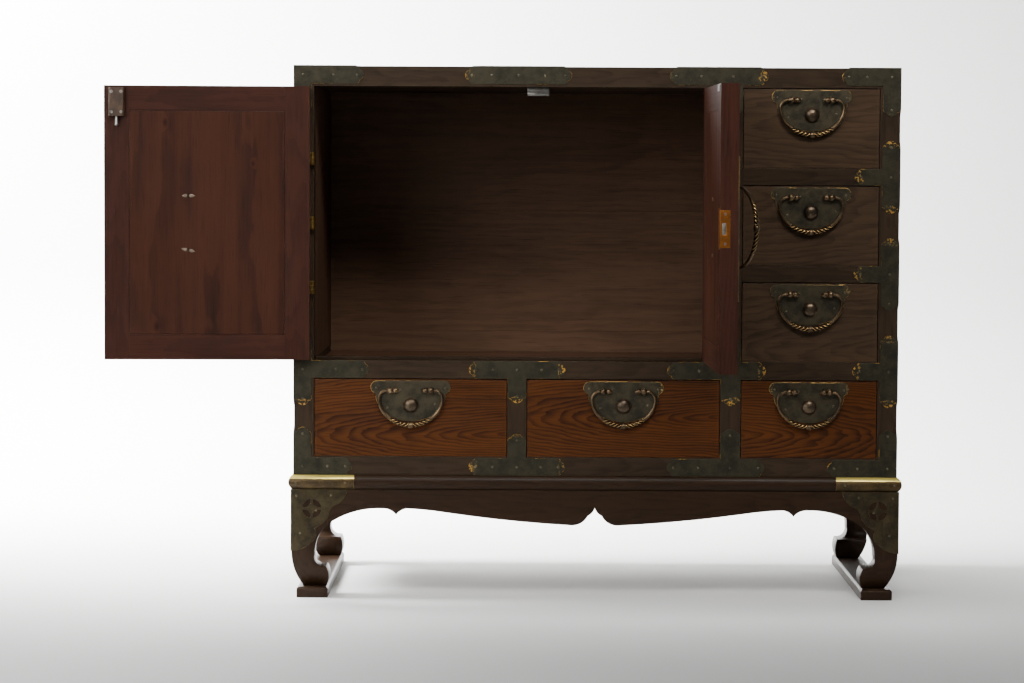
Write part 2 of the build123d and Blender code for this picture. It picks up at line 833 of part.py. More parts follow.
def door(pin_x, side):
    """The pieces that both doors have, built shut; side is +1 where the door lies to the right."""
    hinge_edge = pin_x + side * hinge_pin_aside
    free_edge = hinge_edge + side * door_width
    stiles, rails, panel = door_leaf(*sorted((hinge_edge, free_edge)))
    plate, studs, handle = door_pull(free_edge, -side)
    for bore in stud_bores(free_edge, -side):
        panel -= bore
    leaves = [hinge(pin_x, side, z) for z in hinge_heights()]
    return {
        "frame": [*stiles, *rails],
        "panel": [panel],
        "plate": [plate, *studs],
        "bail": [handle],
        "hinges": [pair[1] for pair in leaves],
        "post_hinges": [pair[0] for pair in leaves],
        "free_edge": free_edge,
        "free_stile": 0 if side < 0 else 1,
    }


def flush_bolt(free_edge):
    """A surface bolt at the top of the left door: the case, and the pin with its knob."""
    x = free_edge - bolt_from_edge
    y = door_inner + bolt_case_depth / 2
    top = door_top - bolt_case_from_top
    low = top - bolt_case_height
    case = block(
        x - bolt_case_width / 2, x + bolt_case_width / 2, door_inner, door_inner + bolt_case_depth,
        low, top,
    )
    case = fillet(case.edges().filter_by(Axis.Z).sort_by(Axis.Y)[-2:], bolt_case_round)
    case -= rod_z(bolt_radius + fit, low - over, top + over, x, y)
    pin = rod_z(bolt_radius, low - bolt_tail, top - bolt_set_back, x, y)
    knob = rod_z(bolt_knob_radius, low - bolt_tail, low - bolt_throw - bolt_set_back, x, y)
    return case, pin + knob


def cabinet_lock(free_edge):
    """The lock in the right door's stile, its pocket and keyhole, and the bolt that it throws."""
    z = door_middle
    plate_front = door_inner - lock_plate_width
    case_x = (free_edge + lock_plate_thickness, free_edge + lock_case_width)
    case_y = (door_inner - lock_case_depth, door_inner)
    plate_x = (free_edge, free_edge + lock_plate_thickness)
    plate_z = (z - lock_plate_height / 2, z + lock_plate_height / 2)
    case_z = (z - lock_case_height / 2, z + lock_case_height / 2)
    pocket = block(*plate_x, plate_front, door_inner, *plate_z) + block(*case_x, *case_y, *case_z)
    bolt_y = (case_y[0] + case_y[1]) / 2
    bolt = (
        free_edge + lock_bolt_set_back, free_edge + lock_bolt_length,
        bolt_y - lock_bolt_thickness / 2, bolt_y + lock_bolt_thickness / 2,
        z - lock_bolt_height / 2, z + lock_bolt_height / 2,
    )
    run = (free_edge - over, free_edge + lock_bolt_length + fit, *bolt[2:])
    key_x = free_edge + lock_case_width / 2
    bore = (front - plate_thickness - over, case_y[0] + over)
    keyhole = rod_y(keyhole_radius, *bore, key_x, z)
    keyhole += block(
        key_x - keyhole_radius / 2, key_x + keyhole_radius / 2, *bore, z - keyhole_ward, z
    )
    return pocket, keyhole, [pocket - cavity(*run)], block(*bolt)


def lock_mortise(free_edge):
    """The mortise in the left door's edge that the lock bolt enters."""
    bolt_y = door_inner - lock_case_depth / 2
    half = lock_bolt_thickness / 2 + lock_mortise_fit
    height = lock_bolt_height / 2 + lock_mortise_fit
    depth = lock_bolt_throw + 2 * lock_mortise_fit
    return block(
        free_edge - depth, free_edge + over, bolt_y - half, bolt_y + half,
        door_middle - height, door_middle + height,
    )


def catch_and_strike():
    """A magnetic catch under the top board and the strike plate on the right door."""
    x = meeting_x + catch_from_meeting
    face = door_inner + strike_thickness + stop_gap
    sides = (x - catch_width / 2, x + catch_width / 2)
    edge = catch_pole_inset
    shell = block(*sides, face + edge, face + catch_depth, top_under - catch_height, top_under)
    for n in (-1, 1):
        z = top_under - catch_height / 2 + n * catch_height / 4
        pole = (z - catch_pole_thickness / 2, z + catch_pole_thickness / 2)
        shell += block(sides[0] + edge, sides[1] - edge, face, face + 2 * edge, *pole)
    top = door_top - strike_inset
    strike = block(*sides, door_inner, door_inner + strike_thickness, top - strike_height, top)
    return [shell], [strike]


# ---------------------------------------------------------------- sheet metal mounts
def arm_outline(length, width):
    """A strap from the origin to the right, ending in a lobe between two small round steps."""
    half = width / 2
    step = half * mount_step_share
    corner = half - step
    bulge = corner * sin(radians(45))
    neck = length - mount_lobe
    edges = [Line((0, -half), (0, half))]
    for side in (-1, 1):
        edges.append(Line((0, side * half), (neck, side * half)))
        edges.append(
            ThreePointArc(
                (neck, side * half), (neck + bulge, side * (step + bulge)),
                (neck + corner, side * step),
            )
        )
    ends = [(neck + corner, side * step) for side in (-1, 1)]
    edges.append(ThreePointArc(ends[0], (length, 0), ends[1]))
    return make_face(edges)


def mount_outline(width, height, **arms):
    """Straps that meet at the origin; width is an upright's and height is a level strap's."""
    turns = {"to_right": 0, "up": 90, "to_left": 180, "down": 270}
    outline = Rectangle(width, height)
    for name, length in arms.items():
        across = height if name in ("to_right", "to_left") else width
        outline += Rot(0, 0, turns[name]) * arm_outline(length, across)
    return outline


def front_mount(x, z, width, height, **arms):
    """A flat mount on the front of the case."""
    return front_slab(Pos(x, z) * mount_outline(width, height, **arms), front, mount_thickness)


def edge_mount(z, height, side, arm, fold_top=False, **legs):
    """A mount at a corner post: on the front, folded round the side and, at the top, over it."""
    x = right - mount_width / 2
    shape = front_mount(x, z, mount_width, height, to_left=arm, **legs)
    turn = front + mount_width / 2
    flank = Pos(turn, z) * mount_outline(mount_width, height, to_right=mount_side_arm, **legs)
    shape += side_slab(flank, right, mount_thickness)
    arris = (right, right + mount_thickness, front - mount_thickness, front + mount_thickness)
    shape += block(*arris, z - height / 2, z + height / 2)
    for name, sign in (("up", 1), ("down", -1)):
        if name in legs:
            shape += block(*arris, *sorted((z, z + sign * (legs[name] - mount_lobe))))
    if fold_top:
        shape += top_fold(x - arm + mount_lobe, right + mount_thickness)
    return shape if side > 0 else mirror(shape, about=Plane.YZ)


def top_fold(x0, x1):
    """The strip of a mount that is folded back over the top edge."""
    return block(
        x0, x1, front - mount_thickness, front + mount_fold, case_top, case_top + mount_thickness
    )


def case_mounts():
    """Every corner, tee and cross mount of the case front."""
    half = mount_width / 2
    top_z = case_top - half
    bottom_z = case_bottom + half
    middle_z = (middle_rail_bottom + middle_rail_top) / 2
    upright = divider_width - mount_margin
    centre = centre_post_width - mount_margin
    level = middle_rail_height - mount_margin
    mounts = [
        edge_mount(top_z, mount_width, -1, corner_arm_long, fold_top=True, down=corner_leg),
        edge_mount(top_z, mount_width, 1, corner_arm_short, fold_top=True, down=corner_leg),
        edge_mount(bottom_z, mount_width, -1, corner_arm_short, up=corner_leg),
        edge_mount(bottom_z, mount_width, 1, corner_arm_long, up=corner_leg),
        edge_mount(middle_z, level, -1, middle_arm_outer, up=post_leg, down=post_leg),
        edge_mount(middle_z, level, 1, rail_arm, up=post_leg, down=post_leg),
    ]
    for _, _, z0, z1 in column_rails:
        height = drawer_rail_height - mount_margin
        mounts.append(edge_mount((z0 + z1) / 2, height, 1, rail_arm, up=post_leg, down=post_leg))
    strap = front_mount(
        meeting_x, top_z, mount_width, mount_width,
        to_left=strap_half_length, to_right=strap_half_length,
    )
    fold = strap_half_length - mount_lobe
    mounts.append(strap + top_fold(meeting_x - fold, meeting_x + fold))
    tee = front_mount(
        divider_middle, top_z, upright, mount_width,
        to_left=divider_arm_left, to_right=divider_arm_right, down=corner_leg,
    )
    ends = (divider_middle - divider_arm_left + mount_lobe,
            divider_middle + divider_arm_right - mount_lobe)
    mounts.append(tee + top_fold(*ends))
    mounts.append(front_mount(
        divider_middle, middle_z, upright, level,
        to_left=divider_arm_left, to_right=divider_arm_right, up=divider_leg, down=divider_leg,
    ))
    mounts.append(front_mount(
        divider_middle, bottom_z, upright, mount_width,
        to_left=divider_arm_left, to_right=divider_arm_right, up=corner_leg,
    ))
    for z, height, leg in ((middle_z, level, "down"), (bottom_z, mount_width, "up")):
        mounts.append(front_mount(
            meeting_x, z, centre, height,
            to_left=centre_arm, to_right=centre_arm, **{leg: centre_leg},
        ))
    return mounts


# ---------------------------------------------------------------- stand
def moulding_profile(grow=0.0):
    """The stand moulding's section from its nose at zero inwards, over z."""
    low = leg_top
    middle = leg_top + moulding_height / 2
    nose = ThreePointArc((moulding_nose, low), (-grow, middle), (moulding_nose, stand_height))
    inner = moulding_width
    return make_face([
        nose,
        Line((moulding_nose, low), (inner, low)),
        Line((inner, low), (inner, stand_height)),
        Line((inner, stand_height), (moulding_nose, stand_height)),
    ])


def moulding_bars(grow=0.0):
    """The four mitred bars of the moulding."""
    half_x = stand_half_width + moulding_overhang
    half_y = stand_half_depth + moulding_overhang
    bars = []
    section = moulding_profile(grow)
    for half_run, half_out, turn in (
        (half_x, half_y, 0), (half_y, half_x, 90), (half_x, half_y, 180), (half_y, half_x, 270),
    ):
        bar = Pos(-half_run - grow, -half_out, 0) * side_slab(section, 0, 2 * (half_run + grow))
        inner = half_run - moulding_width
        outer = half_run + grow
        plan = make_face(Polyline(
            (-outer, -half_out - grow), (outer, -half_out - grow),
            (inner, -half_out + moulding_width), (-inner, -half_out + moulding_width), close=True,
        ))
        mitred = bar & Pos(0, 0, leg_top - over) * extrude(plan, moulding_height + 2 * over)
        bars.append(Rot(0, 0, turn) * mitred)
    return bars


def moulding_caps():
    """Sheet caps that wrap the two front corners of the moulding."""
    thick = moulding_bars(cap_thickness)
    wood = moulding_bars()
    shell = (thick[0] + thick[1] + thick[3]) - (wood[0] + wood[1] + wood[3])
    out_x = stand_half_width + moulding_overhang
    out_y = stand_half_depth + moulding_overhang
    corner = block(
        out_x - cap_length, out_x + 2 * over, -out_y - 2 * over, cap_length - out_y,
        leg_top - over, stand_height + over,
    )
    return both_sides(shell & corner)


def leg_profile():
    """A leg seen square on: straight outside, waisted inside, toe curled inwards; x = 0 outside."""
    sole = foot_rail_height
    notch = sole + leg_notch_rise
    toe = sole + leg_toe_rise
    shoulder = leg_top - apron_shoulder_drop
    return make_face([
        Line((0, leg_top), (0, sole + leg_outer_bend)),
        ThreePointArc(
            (0, sole + leg_outer_bend), (leg_sole_start * 0.28, sole + leg_outer_bend * 0.45),
            (leg_sole_start, sole),
        ),
        Line((leg_sole_start, sole), (leg_sole_end, sole)),
        ThreePointArc(
            (leg_sole_end, sole), (leg_toe, sole + leg_toe_rise * 0.6), (leg_toe - 4, toe)
        ),
        ThreePointArc(
            (leg_toe - 4, toe), (leg_ankle + 7, toe + 2), (leg_ankle, notch)
        ),
        ThreePointArc(
            (leg_ankle, notch), (leg_ankle + 5.5, (notch + shoulder) / 2 + 4), (leg_width, shoulder)
        ),
        Line((leg_width, shoulder), (leg_width, leg_top)),
        Line((leg_width, leg_top), (0, leg_top)),
    ])


def stand_legs():
    """Four legs with the same outline from the front and from the side."""
    profile = leg_profile()
    deep = leg_toe + over
    from_front = Pos(-stand_half_width, deep - stand_half_depth, 0) * front_slab(profile, 0, deep)
    from_side = Pos(-stand_half_width, -stand_half_depth, 0) * side_slab(profile, 0, deep)
    leg = from_front & from_side
    tenon = apron_tenon_corners(stand_half_width, stand_half_depth)
    leg -= cavity(-tenon[1], -tenon[0], *tenon[2:])
    tenon = apron_tenon_corners(stand_half_depth, stand_half_width)
    leg -= cavity(*tenon[2:4], -tenon[1], -tenon[0], *tenon[4:])
    pair = both_sides(leg)
    return pair + [mirror(one, about=Plane.XZ) for one in pair]


def apron_tenon_corners(half, out):
    """The corners of the tenon at the right end of an apron on the front."""
    inner = half - leg_width
    face = -out + apron_tenon_inset
    return (
        inner, inner + apron_tenon, face, face + tenon_thickness,
        leg_top - apron_shoulder_drop + apron_tenon_rise, leg_top - apron_tenon_drop,
    )


def apron_profile(half, share, ogee_width, ogee_drop):
    """An apron between two legs: an arch, a cusp and a long slope to a pointed ogee, twice."""
    inner = half - leg_width
    spring = inner - share * apron_spring_reach
    cusp = inner - share * apron_cusp_reach
    beyond = cusp - share * apron_cusp_width
    rise = ogee_drop - apron_centre_drop
    places = [
        (inner, apron_shoulder_drop),
        (spring, apron_spring_drop),
        (cusp, apron_cusp_drop),
        (beyond, apron_spring_drop),
        (
            beyond + (ogee_width - beyond) * apron_turn,
            apron_spring_drop + (ogee_drop - apron_spring_drop) * apron_turn,
        ),
        (ogee_width, ogee_drop),
        (ogee_width * ogee_nib_reach, apron_centre_drop + rise * ogee_nib_drop),
        (0, apron_centre_drop),
    ]
    points = [Vector(x, leg_top - drop) for x, drop in places]
    right_edges = [Line((inner, leg_top), points[0])]
    for start, end, bow in zip(points, points[1:], apron_bows):
        right_edges.append(SagittaArc(start, end, bow * (end - start).length))
    left_edges = [mirror(edge, about=Plane.YZ) for edge in right_edges]
    return make_face([Line((-inner, leg_top), (inner, leg_top)), *right_edges, *left_edges])


def stand_aprons():
    """Front, back and side aprons, tenoned into the legs."""
    aprons = []
    for half, out, turn, *shape in (
        (stand_half_width, stand_half_depth, 0, 1.0, front_ogee_width, front_ogee_drop),
        (stand_half_depth, stand_half_width, 90, side_share, side_ogee_width, side_ogee_drop),
    ):
        apron = front_slab(apron_profile(half, *shape), -out + apron_thickness, apron_thickness)
        apron += both_sides(block(*apron_tenon_corners(half, out)))
        aprons += [Rot(0, 0, turn) * apron, Rot(0, 0, turn + 180) * apron]
    return aprons


def foot_rails():
    """A rail under the legs of each side, chamfered along its top."""
    x0 = -stand_half_width + foot_rail_inset
    rail = block(
        x0, x0 + foot_rail_width, -stand_half_depth, stand_half_depth, 0, foot_rail_height
    )
    rail = chamfer(rail.faces().sort_by(Axis.Z)[-1].edges(), foot_rail_chamfer)
    return both_sides(rail)


def leg_plate_outline():
    """The sheet on a leg's shoulder: square outside, three lobes stepping down inside."""
    width = leg_plate_width
    height = leg_plate_height
    steps = [
        (width, 0), (width * 0.84, -height * 0.24), (width * 0.67, -height * 0.42),
        (width * 0.41, -height * 0.63), (width * 0.36, -height * 0.86), (0, -height),
    ]
    bulges = [
        (width * 0.95, -height * 0.14), (width * 0.72, -height * 0.3),
        (width * 0.56, -height * 0.55), (width * 0.44, -height * 0.76),
        (width * 0.22, -height * 0.95),
    ]
    edges = [Line((0, 0), (width, 0)), Line((0, -height), (0, 0))]
    for n, bulge in enumerate(bulges):
        edges.append(ThreePointArc(steps[n], bulge, steps[n + 1]))
    return make_face(edges)


def coin_piercing():
    """Four leaf-shaped openings around a diamond, as on an old pierced coin."""
    across = coin_radius * cos(radians(coin_leaf_angle))
    along = coin_radius * sin(radians(coin_leaf_angle))
    leaf = make_face([
        ThreePointArc((across, -along), (coin_radius * coin_waist, 0), (across, along)),
        ThreePointArc((across, along), (coin_radius, 0), (across, -along)),
    ])
    return [Rot(0, 0, 45 + 90 * n) * leaf for n in range(4)]


def leg_plates():
    """Pierced plates on the front legs, on the front and on the outer side."""
    outline = leg_plate_outline() - [Pos(coin_inset, -coin_drop) * c for c in coin_piercing()]
    plate = Pos(-stand_half_width, -stand_half_depth, leg_top) * front_slab(
        outline, 0, mount_thickness
    )
    flank = Pos(-stand_half_width - mount_thickness, -stand_half_depth, leg_top) * side_slab(
        outline, 0, mount_thickness
    )
    fold = block(
        -stand_half_width - mount_thickness, -stand_half_width,
        -stand_half_depth - mount_thickness, -stand_half_depth,
        leg_top - leg_plate_height, leg_top,
    )
    return both_sides(plate + flank + fold)


# ---------------------------------------------------------------- the whole cabinet
left_door = door(left_pin_x, 1)
right_door = door(right_pin_x, -1)
bolt_case, bolt_pin = flush_bolt(left_door["free_edge"])
lock_pocket, keyhole, lock_case, lock_bolt = cabinet_lock(right_door["free_edge"])
catch, strike = catch_and_strike()

left_stile = left_door["free_stile"]
left_door["frame"][left_stile] -= lock_mortise(left_door["free_edge"])
right_stile = right_door["free_stile"]
right_door["frame"][right_stile] -= [lock_pocket, keyhole]
right_door["plate"][0] -= keyhole

parts = {
    "top_board": top_board(),
    "corner_posts": corner_posts(),
    "divider_posts": divider_posts(),
    "front_rails": front_rails(),
    "side_rails": side_rails(),
    "side_panels": side_panels(),
    "back_boards": back_boards(),
    "bottom_board": [tier_board(bottom_rail_top)],
    "compartment_floor": [tier_board(floor_top)],
    "partition_wall": [partition_wall()],
    "drawer_runners": drawer_runners(),
    "door_stop": [door_stop()],
    "case_mounts": case_mounts(),
    "post_hinge_leaves": left_door["post_hinges"] + right_door["post_hinges"],
    "magnetic_catch": catch,
    "stand_moulding": moulding_bars(),
    "stand_caps": moulding_caps(),
    "stand_legs": stand_legs(),
    "stand_aprons": stand_aprons(),
    "foot_rails": foot_rails(),
    "leg_plates": leg_plates(),
}

for number, opening in drawer_openings().items():
    for piece, solids in drawer(*opening).items():
        parts[f"drawer_{number}_{piece}"] = solids

for name, pieces, pin_x, angle in (
    ("left_door", left_door, left_pin_x, -left_door_angle),
    ("right_door", right_door, right_pin_x, right_door_angle),
):
    for piece in ("frame", "panel", "plate", "bail", "hinges"):
        parts[f"{name}_{piece}"] = [turned(solid, pin_x, angle) for solid in pieces[piece]]
for name, solids in (("bolt_case", [bolt_case]), ("bolt_pin", [bolt_pin])):
    parts[f"left_door_{name}"] = [turned(s, left_pin_x, -left_door_angle) for s in solids]
for name, solids in (("lock_case", lock_case), ("lock_bolt", [lock_bolt]), ("strike", strike)):
    parts[f"right_door_{name}"] = [turned(s, right_pin_x, right_door_angle) for s in solids]

os.makedirs("parts", exist_ok=True)
for name, solids in parts.items():
    export_step(Compound(solids), f"parts/{name}.step")
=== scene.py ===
# %% [markdown]
# # A low Korean cabinet on its stand
# The cabinet is a frame of slim lacquered posts and rails that holds two doors and six drawers.
# Sheet bronze covers the frame's joints, and cast bronze bails hang on the fronts. The sizes come
# from the measured model, which this lesson only dresses. All lengths are in metres, except where
# a table says millimetres.

# %% Open the frame
import random
from math import atan2, copysign, cos, degrees, pi, radians, sin, sqrt

import bmesh
import bpy
from mathutils import Matrix, Vector


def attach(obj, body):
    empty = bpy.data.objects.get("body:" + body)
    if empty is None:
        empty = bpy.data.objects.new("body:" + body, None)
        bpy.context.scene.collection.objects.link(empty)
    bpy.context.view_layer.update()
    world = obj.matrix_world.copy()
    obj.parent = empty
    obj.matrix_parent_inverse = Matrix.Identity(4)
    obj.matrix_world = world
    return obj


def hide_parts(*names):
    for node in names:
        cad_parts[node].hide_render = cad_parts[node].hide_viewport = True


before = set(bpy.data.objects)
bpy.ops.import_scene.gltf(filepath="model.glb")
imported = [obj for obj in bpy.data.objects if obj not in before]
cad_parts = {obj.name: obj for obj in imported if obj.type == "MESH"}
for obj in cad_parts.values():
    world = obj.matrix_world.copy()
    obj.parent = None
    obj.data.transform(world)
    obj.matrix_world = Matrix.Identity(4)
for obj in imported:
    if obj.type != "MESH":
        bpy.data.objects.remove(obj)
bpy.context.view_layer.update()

# %% [markdown]
# ## Camera
# The cabinet is seen from its own height and from five metres away, a little left of its middle.
# A long lens keeps the frame's uprights nearly parallel. The camera's matrix is written from its
# heading, its tilt and its small roll, so that each of the three can be read by itself.

# %% Camera
def add_object(name, data):
    """A new object at the origin, linked to the scene."""
    made = bpy.data.objects.new(name, data)
    bpy.context.scene.collection.objects.link(made)
    return made


eye = Vector((-0.1273, -5.2315, 0.7136))
heading, tilt, roll = 0.0023, -0.057, 0.005
ahead = Vector((-sin(heading) * cos(tilt), cos(heading) * cos(tilt), sin(tilt)))
aside = Vector((cos(heading), sin(heading), 0))
above = aside.cross(ahead)
level = cos(roll) * aside + sin(roll) * above
upright = cos(roll) * above - sin(roll) * aside
camera = add_object("camera", bpy.data.cameras.new("camera"))
camera.data.lens = 106.3
camera.data.sensor_width = 36.0
camera.matrix_world = Matrix.Translation(eye) @ Matrix((level, upright, -ahead)).transposed().to_4x4()
bpy.context.scene.camera = camera
print("camera at", tuple(round(v, 3) for v in eye))

# %% [markdown]
# ## Shader sums
# A finish is mostly arithmetic on masks: grain times wear, one minus dirt, and so on. Wiring that
# by hand hides the idea, so one small class wraps a socket and lets Python write the sum. Its
# method node() makes every other node, from values or links for its inputs and its settings.


# %% One socket that can stand in a sum
class Signal:
    def __init__(self, tree, socket=None):
        self.tree = tree
        self.socket = socket

    def feed(self, target, value):
        """Link a signal to a node's input, or set a plain value there."""
        if isinstance(value, Signal):
            self.tree.links.new(value.socket, target)
        else:
            target.default_value = (*value, 1.0) if target.type == "RGBA" else value

    def node(self, kind, inputs=None, out=0, **settings):
        made = self.tree.nodes.new(kind)
        for key, value in settings.items():
            setattr(made, key, value)
        for key, value in (inputs or {}).items():
            self.feed(made.inputs[key], value)
        return Signal(self.tree, made.outputs[out] if len(made.outputs) else None)

    def math(self, operation, *others):
        values = dict(enumerate((self, *others)))
        return self.node("ShaderNodeMath", values, operation=operation)

    def __add__(self, other):
        return self.math("ADD", other)

    def __sub__(self, other):
        return self.math("SUBTRACT", other)

    def __rsub__(self, other):
        return self.math("MULTIPLY_ADD", -1.0, other)

    def __mul__(self, other):
        return self.math("MULTIPLY", other)

    def __truediv__(self, other):
        return self.math("DIVIDE", other)

    def __pow__(self, other):
        return self.math("POWER", other)

    def rise(self, low, high):
        """A smooth step from 0 to 1 while this goes from low to high."""
        span = {"Value": self, "From Min": low, "From Max": high}
        return self.node("ShaderNodeMapRange", span, interpolation_type="SMOOTHSTEP")

    def blend(self, first, second):
        """Colour first where this is 0, second where it is 1."""
        mix = self.node("ShaderNodeMix", data_type="RGBA").socket.node
        for key, value in {"Factor": self, "A": first, "B": second}.items():
            self.feed(next(s for s in mix.inputs if s.name == key and s.enabled), value)
        return Signal(self.tree, next(s for s in mix.outputs if s.enabled))

    def attribute(self, name, out):
        return self.node("ShaderNodeAttribute", out=out, attribute_name=name)

    def parts(self):
        """The three parts of a vector."""
        return [self.node("ShaderNodeSeparateXYZ", {0: self}, out=n) for n in range(3)]

    def noise(self, scale, detail, roughness=0.5):
        """A noise at this place; three scales stretch it."""
        if isinstance(scale, tuple):
            stretched = self.node("ShaderNodeMapping", {"Vector": self, "Scale": scale})
            return stretched.noise(1.0, detail, roughness)
        values = {"Vector": self, "Scale": scale, "Detail": detail, "Roughness": roughness}
        return self.node("ShaderNodeTexNoise", values)

    def bump(self):
        """The relief of a height of up to 0.4 mm."""
        values = {"Strength": 0.35, "Distance": 0.0004, "Height": self}
        return self.node("ShaderNodeBump", values)


def rgb(colour):
    """A colour as a paint chart gives it, 0 to 255, made linear for the shader."""
    shares = [v / 255 for v in colour]
    return tuple(v / 12.92 if v <= 0.04045 else ((v + 0.055) / 1.055) ** 2.4 for v in shares)


def new_finish(name):
    """An empty node material: its start signal and its shader node."""
    made = bpy.data.materials.new(name)
    made.use_nodes = True
    shader = next(n for n in made.node_tree.nodes if n.type == "BSDF_PRINCIPLED")
    return made, Signal(made.node_tree), shader


def plug(signal, shader, socket):
    signal.tree.links.new(signal.socket, shader.inputs[socket])


print("shader sums ready")

# %% [markdown]
# ## Wood
# Every board carries its own coordinates in an attribute called grain: along the fibres, across
# them, and through the board. So one finish serves a post, a rail and a turned door, and the
# figure never runs on from one board into the next. Growth rings are the distance from a pith
# line that leans against the board: a flat-sawn board cuts them in pointed arches, a quartered
# one in straight lines. Pores are a noise drawn out along the fibres.


# %% Wood finish
def wood(name, light, dark, spacing=0.006, depth=0.02, lean=0.1, contrast=0.6, sheen=0.42,
         wave=0.006, worn_tone=(78, 58, 38), coat=0.0, knots=()):
    """Spacing lies between two rings; depth and lean place the pith; wave bends the rings.

    A knot is (along, across, size)."""
    made, start, shader = new_finish(name)
    light, dark = rgb(light), rgb(dark)
    grain = start.attribute("grain", "Vector")
    along, across, through = grain.parts()
    slow = grain.noise((5.0, 22.0, 22.0), 3.0)
    ripple = grain.noise((26.0, 90.0, 90.0), 2.0)
    pores = grain.noise((22.0, 900.0, 900.0), 2.0)
    streaks = grain.noise((4.0, 120.0, 120.0), 4.0)
    cloud = grain.noise((7.0, 11.0, 11.0), 3.0)
    rub = grain.noise((30.0, 30.0, 30.0), 6.0, 0.7)
    rise = through + depth + along * lean
    ring = (across * across + rise * rise) ** 0.5
    ring = ring + (slow - 0.5) * (wave * 4) + (ripple - 0.5) * (wave * 0.5)
    spots = []
    for u, v, size in knots:
        du, dv = along - u, (across - v) * 1.7
        near = (du * du + dv * dv) ** 0.5
        ring = ring + near.rise(size * 2.6, 0.0) * (size * 1.3)
        spots.append(near.rise(size * 1.2, 0.0) * 0.7)
    turn = (ring / spacing).math("FRACT")
    late = turn.rise(0.25, 0.9) * (1 - turn.rise(0.93, 1.0))
    fibre = late * contrast + (streaks - 0.5) * 0.9 + (cloud - 0.5) * 0.7
    colour = fibre.rise(-0.35, 0.95).blend(light, dark)
    colour = (pores.rise(0.56, 0.72) * 0.5).blend(colour, tuple(c * 0.45 for c in dark))
    for spot in spots:
        colour = spot.blend(colour, tuple(c * 0.3 for c in dark))
    worn = start.attribute("edge", "Fac") * rub.rise(0.52, 0.7)
    colour = (worn * 0.8).blend(colour, rgb(worn_tone))
    plug(colour, shader, "Base Color")
    plug((slow - 0.5) * 0.25 + pores * 0.12 + worn * 0.15 + (sheen - 0.05), shader, "Roughness")
    plug((pores * -0.6 + late * -0.25 + ripple * 0.2).bump(), shader, "Normal")
    shader.inputs["Specular IOR Level"].default_value = 0.1
    shader.inputs["Coat Weight"].default_value = coat
    shader.inputs["Coat Roughness"].default_value = 0.22
    return made


fine_rings = {"spacing": 0.004, "depth": 0.05, "lean": 0.03, "contrast": 0.3}
frame_wood = wood("frame_wood", (52, 40, 29), (28, 21, 15), **fine_rings)
# Painted shade: the stand's finish is darker than the frame's, so the low stand, lit more by the pale
# floor, stays as dark as the case.
stand_wood_painted_shade = wood("stand_wood_painted_shade", (44, 29, 17), (24, 16, 9), **fine_rings, coat=0.04)
door_wood = wood("door_wood", (57, 31, 22), (33, 18, 13), 0.006, 0.04, 0.05, 0.25, coat=0.05)
panel_wood = wood("panel_wood", (60, 32, 21), (28, 16, 11), 0.030, 0.06, 0.04, 0.35, wave=0.012,
                  coat=0.05,
                  knots=((0.787, 0.068, 0.009), (0.453, 0.082, 0.011), (0.72, -0.075, 0.006)))
warm_wood = wood("drawer_wood", (78, 42, 16), (25, 14, 7), 0.0042, 0.012, 0.14, 0.5)
brown_wood = wood("column_drawer_wood", (66, 50, 36), (29, 22, 16), 0.009, 0.014, 0.2, 0.3,
                  wave=0.012)
# Painted light: the boards inside the case are far lighter than the frame, to lift the shade that falls
# in the compartment.
board_wood = wood("board_wood", (90, 66, 49), (50, 36, 27), 0.014, 0.05, 0.05, 0.15, 0.5, 0.014)
side_wood = wood("side_wood", (52, 39, 28), (28, 21, 15), 0.007, 0.02, 0.12, 0.4, wave=0.008)
floor_wood = wood("floor_wood", (78, 52, 37), (46, 30, 21), 0.006, 0.03, 0.05, 0.35, 0.34, coat=0.3)
box_wood = wood("box_wood", (176, 138, 94), (126, 90, 56), 0.005, 0.04, 0.05, 0.5, 0.62,
                worn_tone=(150, 120, 86))
print("wood finishes", [m.name for m in bpy.data.materials if "wood" in m.name])

# %% [markdown]
# ## Metal
# The sheets are bronze under a dark green-brown skin. Hands have rubbed the skin off at the lobed
# ends and along the edges, and gold shows there in broken crescents. A sheet's attribute tip
# holds the distance from the nearest lobe's end, the place across the strap and how worn that
# lobe is. So the wear sits right on every strap, whichever way it runs.


